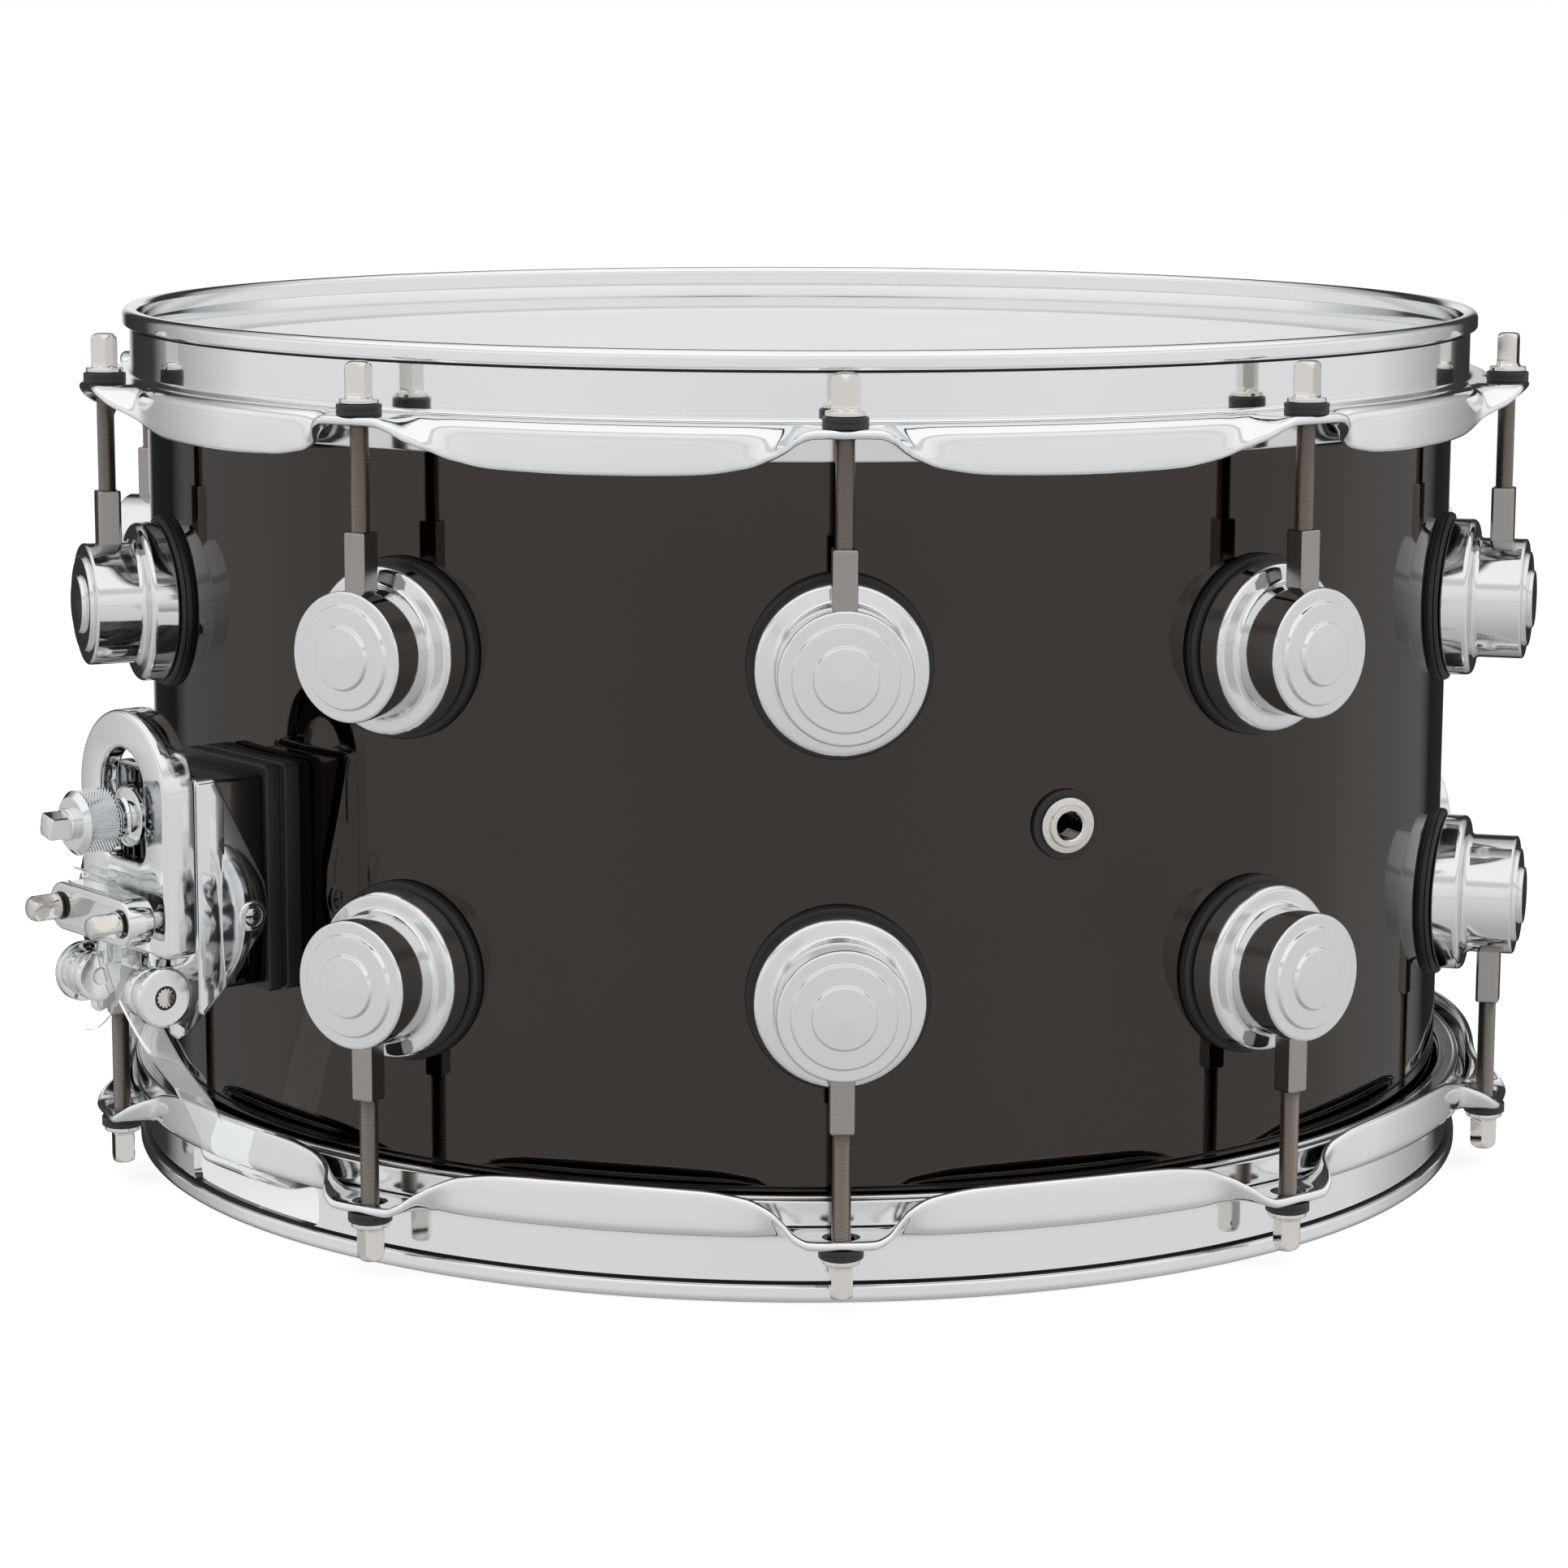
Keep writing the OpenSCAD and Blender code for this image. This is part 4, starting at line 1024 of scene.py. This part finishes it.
class DRUM_OT_lever(bpy.types.Operator):
    """Builds the arched lever with its window, ribs, knuckles and strap clamp"""
    bl_idname = "drum.lever"
    bl_label = "Lever and clamp"

    def execute(self, context):
        place = throwoff_place()
        lever = Blank()
        half, inner, window = 20.4, 17.6, 10.3
        face = soften([(-half, 115), (-half, 76.5), (half, 76.5), (half, 115)], [0, 2.2, 2.2, 0], 6,
                      closed=False)
        face += arc(0, 115.9, half, 2, 178, 46)
        opening = soften([(-window, 115), (-window, 99), (window, 99), (window, 115)], [0, 4, 4, 0], 8,
                         closed=False)
        opening += arc(0, 116.5, window, 3, 177, 30)
        lever.plate([face, opening], 209.4, 215.2, 1.3, place, 5)
        # the skirt stands a trace proud of the face, so that the two never share a surface
        skirt = [(y * 1.003, 96 + (z - 96) * 1.0015) for y, z in face]
        core = soften([(-inner, 115), (-inner, 80.6), (inner, 80.6), (inner, 115)], [0, 1.5, 1.5, 0], 6,
                      closed=False)
        lever.plate([skirt, core + arc(0, 115.9, inner, 2, 178, 46)], 206.9, 214.1, 0.3, place)
        rib = box_outline(14.8, 20.3, 81, 107, 1.6)
        knuckle = soften([(2.15, 10.8), (6.4, 10.8), (6.4, 14.2), (2.15, 14.2)], [0.1, 0.9, 0.9, 0.1])
        web = box_outline(9.9, 14.1, 70.4, 79, 0.6, 4)
        for sign in (-1, 1):
            flip = mirrored(place, sign)
            lever.plate([rib], 207.6, 210.8, 1.0, flip)
            lever.lathe(knuckle, 72, lying_across(flip, PIN), closed=True)
            lever.plate([web], 210.2, 215.1, 0.6, flip)
        lever.piece("lever_arch", ["lever chrome"], "lever", "chrome_cast", ["lever"], 38)
        self.clamp(place, "lever", 217.6, 225, "strap_bar", "clamp_bar")
        self.screws(place, "lever", 225, 211.4, "strap_bar_screws", "clamp_screws")
        rings = Blank()
        bead = [(2.75 + x, y) for x, y, _ in circle(0.62, 0, 12)]
        for sign in (-1, 1):
            to_screw = place @ Matrix.Translation((225.6, sign * CLAMP_SCREW, CLAMP_HEIGHT)) @ AXIS_X
            rings.lathe(bead, 48, to_screw, closed=True)
        rings.piece("bar_o_rings", ["black rubber"], "lever", "black_rubber", ["clamp_o_rings"], 60)
        return {"FINISHED"}

    @staticmethod
    def clamp(place, body, back, front, name, node):
        """A round-ended bar with two screw holes."""
        z, y, r = CLAMP_HEIGHT, 13.8, 6.0
        outline = arc(y, z, r, -88, 88, 20) + arc(-y, z, r, 92, 268, 20)
        holes = [arc(sign * CLAMP_SCREW, z, 3.0, 0, 345, 23) for sign in (-1, 1)]
        bar = Blank().plate([outline] + holes, back, front, 0.75, place, 4)
        bar.piece(name, ["cast chrome"], body, "chrome_cast", [node], 40)

    @staticmethod
    def screws(place, body, face, inner, name, node):
        """Two key-headed screws whose stems run from the bar's face to the inner end."""
        screws = Blank()
        proud = 8.6
        end = proud + face - inner
        stem = soften([(CORE, 6.8), (3.3, 6.8), (3.3, 7.8), (2.2, 8.2), (2.2, end), (CORE, end)],
                      [0, 0.2, 0.3, 0.2, 0.1, 0], 4)
        for sign, turn in ((-1, 18), (1, 62)):
            to_hole = place @ Matrix.Translation((face + proud, sign * CLAMP_SCREW,
                                                  CLAMP_HEIGHT)) @ TOWARDS_SHELL
            key_head(screws, to_hole @ Matrix.Rotation(math.radians(turn), 4, "Z"), 6.9, 5.0, 3.3, 3.4)
            screws.lathe(stem, 48, to_hole)
        screws.piece(name, ["bright nickel"], body, "satin_nickel", [node], 35)


class DRUM_OT_adjuster(bpy.types.Operator):
    """Turns the adjuster knob with its waist and diamond-knurled barrel"""
    bl_idname = "drum.adjuster"
    bl_label = "Adjuster knob"

    def execute(self, context):
        place = throwoff_place() @ Matrix.Translation((0, 0, KNOB_HEIGHT)) @ AXIS_X
        knob = Blank()
        start, length_mm, peak, valley = 220.0, 8.0, 8.25, 7.45
        waist = soften([(2.6, 206.8), (4, 206.8), (4, 212.3), (7.5, 212.5), (7.5, 213.8), (4.6, 215.6),
                        (4.6, 217.4),
                        (6.6, 219.5), (7.5, 219.5), (8.0, start)],
                       [0, 0.3, 0.2, 0.35, 0.3, 1.6, 1.6, 0.2, 0.1, 0], 6, closed=False)
        nose = soften([(8.0, start + length_mm), (6.5, 229.5), (4.0, 229.5), (4.0, 231.2), (CORE, 231.2)],
                      [0, 0.35, 0.15, 0.4, 0], 5, closed=False)
        knob.lathe(waist, 96, place)
        knob.lathe(nose, 96, place)
        # every second point stands out, and each square is split from valley to valley
        around, rows = 76, 20
        verts = []
        faces = []
        for j in range(rows + 1):
            for i in range(around):
                r = peak if (i + j) % 2 else valley
                a = TAU * i / around
                verts.append((r * math.cos(a), r * math.sin(a), start + length_mm * j / rows))
        for j in range(rows):
            for i in range(around):
                k = (i + 1) % around
                a, b, c, d = j * around + i, j * around + k, (j + 1) * around + k, (j + 1) * around + i
                faces += [(a, b, c), (a, c, d)] if (i + j) % 2 == 0 else [(a, b, d), (b, c, d)]
        knob.add(verts, faces, place, 1)
        to_tip = throwoff_place() @ Matrix.Translation((236.4, 0, KNOB_HEIGHT)) @ TOWARDS_SHELL
        key_head(knob, to_tip @ Matrix.Rotation(math.radians(12), 4, "Z"), 5.5, 5.6, 3.95, 0.5, 0.55)
        knob.piece("adjuster_barrel", ["cast chrome", "knurl chrome"], "adjuster", "chrome_cast",
                   ["adjuster_knob"], 24)
        return {"FINISHED"}


# ---------------------------------------------------------------- straps and snares

def flowing(points, per_span=8):
    """A smooth path through the points."""
    out = []
    for i in range(len(points) - 1):
        p0 = Vector(points[max(i - 1, 0)])
        p1 = Vector(points[i])
        p2 = Vector(points[i + 1])
        p3 = Vector(points[min(i + 2, len(points) - 1)])
        for k in range(per_span):
            t = k / per_span
            out.append(0.5 * ((2 * p1) + (p2 - p0) * t + (2 * p0 - 5 * p1 + 4 * p2 - p3) * t ** 2
                              + (3 * p1 - p0 - 3 * p2 + p3) * t ** 3))
    out.append(Vector(points[-1]))
    return out


STRAP_WIDTH = 18
STRAP_THICKNESS = 0.35


def ribbon(path, matrix, round_end=False):
    """The clear strap along a path of X and Z."""
    across = 10
    total = [0.0]
    for a, b in zip(path, path[1:]):
        total.append(total[-1] + (b - a).length)
    rings = []
    for i, p in enumerate(path):
        ahead = (path[min(i + 1, len(path) - 1)] - path[max(i - 1, 0)]).normalized()
        side = Vector((-ahead.y, ahead.x))
        half = STRAP_WIDTH / 2
        left = total[-1] - total[i]
        if round_end and left < half:
            half = math.sqrt(max(0.02, half ** 2 - (half - left) ** 2))
        lift = side * STRAP_THICKNESS / 2
        ys = [-half + 2 * half * k / across for k in range(across + 1)]
        rings.append([(p.x + lift.x, y, p.y + lift.y) for y in ys] + [(p.x - lift.x, -y,
                p.y - lift.y) for y in ys])
    return Blank().skin(rings, matrix, ends=True)


# from the flange's inside, through the gate, to the end plate
GATE_ROUTE = [(196.5, 36.3), (189.95, 22.6), (189.2, 19.2), (188.3, 16.7), (186, 15.1), (181.5, 12.6),
              (176, 10.3),
              (170, 9.25), (152, 9.2)]


class DRUM_OT_straps(bpy.types.Operator):
    """Lays the clear strap through the gate, the hinge and the clamp, and its partner at the butt"""
    bl_idname = "drum.straps"
    bl_label = "Snare straps"

    def execute(self, context):
        place = throwoff_place()
        z = 94.6
        loops = arc(218.1, z, 2.1, 180, 0, 10) + arc(220.85, z - 0.2, 0.65, 180, 360, 6) + arc(223.5, z,
                2.0, 180, 0, 10)
        rise = flowing([GATE_ROUTE[0], (205, 48), (212, 61), (214.6, 67.7), (215.8, 73.5), (216, 80),
                        (216, 93.6)], 7)
        tail = flowing([(225.4, 93.9), (224.7, 92.7), (222.4, 92.45), (218.2, 92.4), (217.1, 91.8),
                        (216.9, 90.4),
                        (216.9, 81), (217.4, 77.4), (218.8, 73.2), (221, 68.6), (224, 63.2),
                        (226.9, 57.6)], 6)
        path = flowing(GATE_ROUTE[::-1], 7)[:-1] + rise[:-1] + [Vector(p) for p in loops] + tail
        strap = ribbon(path, place, round_end=True).piece(
            "clear_strap", ["clear strap"], None, "clear_strap", ["strap_fold", "strap_lower"], 50)
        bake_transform(strap)
        path = flowing(GATE_ROUTE[::-1] + [(203.5, 58), (205.3, 70), (205.35, 82), (205.35, 96)], 7)
        ribbon(path, at_azimuth(BUTT)).piece(
            "butt_clear_strap", ["clear strap"], "drum", "clear_strap", ["butt_strap"], 50)
        return {"FINISHED"}


class DRUM_OT_wires(bpy.types.Operator):
    """Winds the snare wires between their end plates"""
    bl_idname = "drum.wires"
    bl_label = "Snare wires"

    def execute(self, context):
        strands, around = 20, 9
        coil, steel, pitch = 0.72, 0.23, 1.7
        half = 154.0
        z = sizes().shell_edge / MM - 0.3 - coil - steel
        turns = int(2 * half / pitch)
        blank = Blank()
        along = Vector((steel, 0, 0))
        for strand in range(strands):
            y = (strand - (strands - 1) / 2) * sizes().wire_pitch / MM
            rings = []
            for i in range(turns * around + 1):
                a = TAU * i / around
                x = -half + pitch * i / around
                out = Vector((0, math.cos(a), math.sin(a)))
                centre = Vector((x, y, z)) + out * coil
                rings.append([centre + out * steel, centre + along, centre - out * steel, centre - along])
            blank.skin(rings, throwoff_place())
        blank.piece("snare_coils", ["bright steel"], "drum", "snare_steel", ["snare_wires"], 70,
                    weld=False)
        return {"FINISHED"}


class DRUM_OT_butt(bpy.types.Operator):
    """Builds the butt plate that holds the far strap"""
    bl_idname = "drum.butt"
    bl_label = "Butt plate"

    def execute(self, context):
        place = at_azimuth(BUTT)
        cast = Blank()
        outline = soften([(185.7, 70.2), (201.6, 70.2), (204.5, 73.2), (204.5, 98), (196.6, 111.9),
                          (185.7, 111.9)],
                         [0.8, 1.5, 1.5, 3, 3, 0.8], 6)
        cast.plate([outline], -18, 18, 0.9, place @ stand_on_side())
        cast.piece("butt_casting", ["cast chrome"], "drum", "chrome_cast", ["butt_body"], 38)
        DRUM_OT_lever.clamp(place, "drum", 206.1, 212.1, "butt_bar", "butt_clamp")
        DRUM_OT_lever.screws(place, "drum", 212.1, 197.5, "butt_bar_screws", "butt_screws")
        return {"FINISHED"}


# ---------------------------------------------------------------- finishes and stage

class DRUM_OT_finishes(bpy.types.Operator):
    """Mixes every finish on the drum"""
    bl_idname = "drum.finishes"
    bl_label = "Finishes"

    def execute(self, context):
        c = colours()
        plating_group()
        grain_group()
        turned_group()
        chrome = tuple(c.chrome)
        # painted light: the hoops' chrome is made 8 percent brighter than the rest, in place of the
        # brighter reflections on their rims and walls
        chrome_with_painted_light = tuple(min(1.0, 1.08 * v) for v in chrome)
        dimmer = tuple(0.955 * v for v in chrome)
        # name, base colour, effect, scale, roughness from and to, relief, its depth in metres, tone swing
        for name, *look in (
                ("black nickel", tuple(c.shell), "Plating", 14.0, 0.02, 0.045, 0.05, 0.0002, 0.06),
                ("hoop chrome", chrome_with_painted_light, "Plating", 22.0, 0.05, 0.11, 0.12, 0.0002, 0.02),
                ("lug chrome", dimmer, "Plating", 60.0, 0.05, 0.10, 0.05, 0.0001, 0.02),
                ("cast chrome", chrome, "Plating", 90.0, 0.04, 0.10, 0.10, 0.0001, 0.03),
                ("lever chrome", chrome, "Plating", 70.0, 0.06, 0.12, 0.08, 0.0001, 0.03),
                ("knurl chrome", chrome, "Plating", 300.0, 0.05, 0.10, 0.03, 0.00005, 0.03),
                ("black gloss", (0.085, 0.078, 0.073), "Plating", 30.0, 0.03, 0.07, 0.05, 0.0001, 0.1),
                ("polished aluminium", (0.74, 0.74, 0.74), "Turned marks", 60.0, 0.10, 0.18, 0.05,
                 0.00005, 0.04),
                ("satin nickel", tuple(c.nickel), "Turned marks", 240.0, 0.18, 0.30, 0.06, 0.00005, 0.08),
                ("bright nickel", (0.70, 0.67, 0.63), "Turned marks", 260.0, 0.06, 0.13, 0.05, 0.00005,
                 0.05),
                ("rod nickel", (0.78, 0.75, 0.71), "Turned marks", 420.0, 0.05, 0.11, 0.08, 0.00005,
                 0.06),
                ("rod thread", (0.40, 0.37, 0.34), "Turned marks", 500.0, 0.24, 0.38, 0.05, 0.00005,
                 0.10),
                ("zinc steel", (0.55, 0.55, 0.56), "Turned marks", 300.0, 0.22, 0.36, 0.05, 0.00005,
                 0.08),
                ("bright steel", (0.62, 0.62, 0.63), "Turned marks", 300.0, 0.16, 0.28, 0.05, 0.00005,
                 0.06)):
            finish(name, *look, Metallic=1.0)
        # painted shade: a near-black finish that stands in for the shade in bores, slots, counterbores
        # and the step under the hoops' rims
        finish("painted shade", (0.05, 0.05, 0.05), "Fine grain", 600.0, 0.5, 0.7, 0.1, 0.00005, 0.2,
               Metallic=0.6)
        finish("black rubber", tuple(c.rubber), "Fine grain", 1400.0, 0.42, 0.62, 0.25, 0.00004, 0.25)
        finish("black nylon", (0.010, 0.010, 0.011), "Fine grain", 900.0, 0.34, 0.48, 0.15, 0.00004, 0.2)
        finish("white coating", tuple(c.head), "Fine grain", 1500.0, 0.55, 0.75, 0.5, 0.00006, 0.02)
        finish("clear film", (0.97, 0.98, 0.98), "Fine grain", 40.0, 0.03, 0.08, 0.02, 0.00005, 0.0,
               Transmission_Weight=1.0, IOR=1.25)
        finish("clear strap", tuple(c.strap), "Fine grain", 60.0, 0.02, 0.05, 0.02, 0.00005, 0.0,
               Transmission_Weight=0.88, IOR=1.04, Specular_IOR_Level=1.0)
        finish("studio floor", tuple(c.floor), "Fine grain", 6.0, 0.75, 0.9, 0.02, 0.0001, 0.005,
               Emission_Color=(1, 1, 1, 1), Emission_Strength=0.70, Specular_IOR_Level=0.1)
        return {"FINISHED"}


class DRUM_OT_stage(bpy.types.Operator):
    """Sets the pale floor, the studio light and the camera"""
    bl_idname = "drum.stage"
    bl_label = "Stage"

    def execute(self, context):
        scene = context.scene
        half = 6.0
        mesh = bpy.data.meshes.new("studio_floor")
        corners = [(-half, -half, 0), (half, -half, 0), (half, half, 0), (-half, half, 0)]
        mesh.from_pydata(corners, [], [(0, 1, 2, 3)])
        mesh.materials.append(paint("studio floor"))
        floor = bpy.data.objects.new("studio_floor", mesh)
        floor.location.z = -0.0002  # a trace lower than the rim, so that the two don't share a plane
        floor.visible_glossy = False
        scene.collection.objects.link(floor)
        self.sky(scene)
        self.lamp(scene, "top_softbox", (0.0, -0.2, 1.9), (0, 0, 0.1), 2.0, 1.2, 5.0)
        self.lamp(scene, "left_softbox", (-1.9, -1.1, 0.9), (0, 0, 0.12), 0.5, 1.6, 3.0)
        self.lamp(scene, "right_softbox", (1.9, -0.9, 0.9), (0, 0, 0.12), 0.5, 1.6, 3.0)
        self.camera(scene)
        scene.view_settings.view_transform = "Standard"
        scene.view_settings.look = "None"
        return {"FINISHED"}

    @staticmethod
    def sky(scene):
        """A bright studio with darker sides, plain white straight behind the drum."""
        world = bpy.data.worlds.new("studio")
        world.use_nodes = True
        scene.world = world
        tree = world.node_tree
        sky = tree.nodes["Background"]
        coords = tree.nodes.new("ShaderNodeTexCoord")
        split = tree.nodes.new("ShaderNodeSeparateXYZ")
        tree.links.new(coords.outputs["Generated"], split.inputs[0])
        height = DRUM_OT_stage.ramp(tree, split.outputs["Z"], (
            (-1.0, 0.46), (-0.60, 0.62), (-0.30, 0.75), (-0.10, 0.80), (-0.02, 0.84), (0.01, 0.74),
                    (0.06, 0.88),
            (0.34, 0.98), (0.42, 0.70), (0.50, 0.72), (0.58, 1.1), (1.0, 1.1)))
        depth = DRUM_OT_stage.ramp(tree, split.outputs["Y"], (
            (-1.0, 0.96), (-0.75, 1.0), (0.30, 0.96), (0.60, 0.58), (0.73, 0.42), (0.81, 0.05),
                    (0.95, 0.04),
            (0.985, 0.95)))
        blend = tree.nodes.new("ShaderNodeMix")
        blend.data_type = "RGBA"
        blend.blend_type = "MULTIPLY"
        blend.inputs["Factor"].default_value = 1.0
        tree.links.new(height, blend.inputs["A"])
        tree.links.new(depth, blend.inputs["B"])
        tree.links.new(blend.outputs["Result"], sky.inputs["Color"])
        sky.inputs["Strength"].default_value = 1.0
        plain = tree.nodes.new("ShaderNodeBackground")
        plain.inputs["Color"].default_value = (1, 1, 1, 1)
        plain.inputs["Strength"].default_value = 1.0
        pick = tree.nodes.new("ShaderNodeMixShader")
        path = tree.nodes.new("ShaderNodeLightPath")
        tree.links.new(path.outputs["Is Camera Ray"], pick.inputs["Fac"])
        tree.links.new(sky.outputs[0], pick.inputs[1])
        tree.links.new(plain.outputs[0], pick.inputs[2])
        tree.links.new(pick.outputs[0], tree.nodes["World Output"].inputs["Surface"])

    @staticmethod
    def ramp(tree, value, stops):
        """Greys along one direction, which runs from -1 to 1."""
        lift = tree.nodes.new("ShaderNodeMapRange")
        lift.inputs["From Min"].default_value = -1
        lift.inputs["From Max"].default_value = 1
        tree.links.new(value, lift.inputs["Value"])
        node = tree.nodes.new("ShaderNodeValToRGB")
        elements = node.color_ramp.elements
        elements.remove(elements[1])
        for k, (place, grey) in enumerate(stops):
            stop = elements[0] if k == 0 else elements.new((place + 1) / 2)
            stop.position = (place + 1) / 2
            stop.color = (grey, grey, grey, 1)
        tree.links.new(lift.outputs[0], node.inputs["Fac"])
        return node.outputs["Color"]

    @staticmethod
    def lamp(scene, name, place, aim, wide, tall, power):
        """A soft light that stays out of the reflections, which the sky gives."""
        data = bpy.data.lights.new(name, "AREA")
        data.shape = "RECTANGLE"
        data.size = wide
        data.size_y = tall
        data.energy = power
        lamp = bpy.data.objects.new(name, data)
        lamp.location = place
        lamp.rotation_euler = (Vector(aim) - Vector(place)).to_track_quat("-Z", "Y").to_euler()
        lamp.visible_glossy = False
        scene.collection.objects.link(lamp)

    @staticmethod
    def camera(scene):
        """A long lens from a little above the top rim."""
        data = bpy.data.cameras.new("view_camera")
        data.sensor_width = 36
        data.lens = 97.51
        data.clip_start = 0.05
        data.clip_end = 60
        camera = bpy.data.objects.new("view_camera", data)
        yaw, pitch, roll = (math.radians(v) for v in (2.98, 9.97, 0.18))
        ahead = Vector((math.sin(yaw) * math.cos(pitch), math.cos(yaw) * math.cos(pitch),
                        -math.sin(pitch)))
        right = Vector((math.cos(yaw), -math.sin(yaw), 0))
        up = right.cross(ahead)
        across = math.cos(roll) * right + math.sin(roll) * up
        upward = -math.sin(roll) * right + math.cos(roll) * up
        turn = Matrix((across, upward, -ahead)).transposed().to_4x4()
        camera.matrix_world = Matrix.Translation((-0.06449, -1.16409, 0.29962)) @ turn
        scene.collection.objects.link(camera)
        scene.camera = camera


class DRUM_PT_panel(bpy.types.Panel):
    """Lists the drum's sizes, colours and making steps"""
    bl_label = "Snare drum"
    bl_idname = "DRUM_PT_panel"
    bl_space_type = "VIEW_3D"
    bl_region_type = "UI"
    bl_category = "Drum"

    def draw(self, context):
        layout = self.layout
        for group in (context.scene.drum_sizes, context.scene.drum_colours):
            column = layout.column()
            for label in group.bl_rna.properties.keys():
                if label not in {"rna_type", "name"}:
                    column.prop(group, label)
        for step in STEPS:
            layout.operator(step.bl_idname)


STEPS = (DRUM_OT_finishes, DRUM_OT_shell, DRUM_OT_vent, DRUM_OT_heads, DRUM_OT_flesh_hoops, DRUM_OT_hoops,
         DRUM_OT_lugs, DRUM_OT_inner_screws, DRUM_OT_rods, DRUM_OT_throwoff_base, DRUM_OT_lever,
         DRUM_OT_adjuster,
         DRUM_OT_straps, DRUM_OT_wires, DRUM_OT_butt, DRUM_OT_stage)


def register():
    for cls in (DrumSizes, DrumColours, *STEPS, DRUM_PT_panel):
        bpy.utils.register_class(cls)
    bpy.types.Scene.drum_sizes = bpy.props.PointerProperty(type=DrumSizes)
    bpy.types.Scene.drum_colours = bpy.props.PointerProperty(type=DrumColours)


def unregister():
    del bpy.types.Scene.drum_colours
    del bpy.types.Scene.drum_sizes
    for cls in reversed((DrumSizes, DrumColours, *STEPS, DRUM_PT_panel)):
        bpy.utils.unregister_class(cls)


def main():
    """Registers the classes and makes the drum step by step."""
    register()
    for step in STEPS:
        area, name = step.bl_idname.split(".")
        getattr(getattr(bpy.ops, area), name)()


if __name__ == "__main__":
    main()
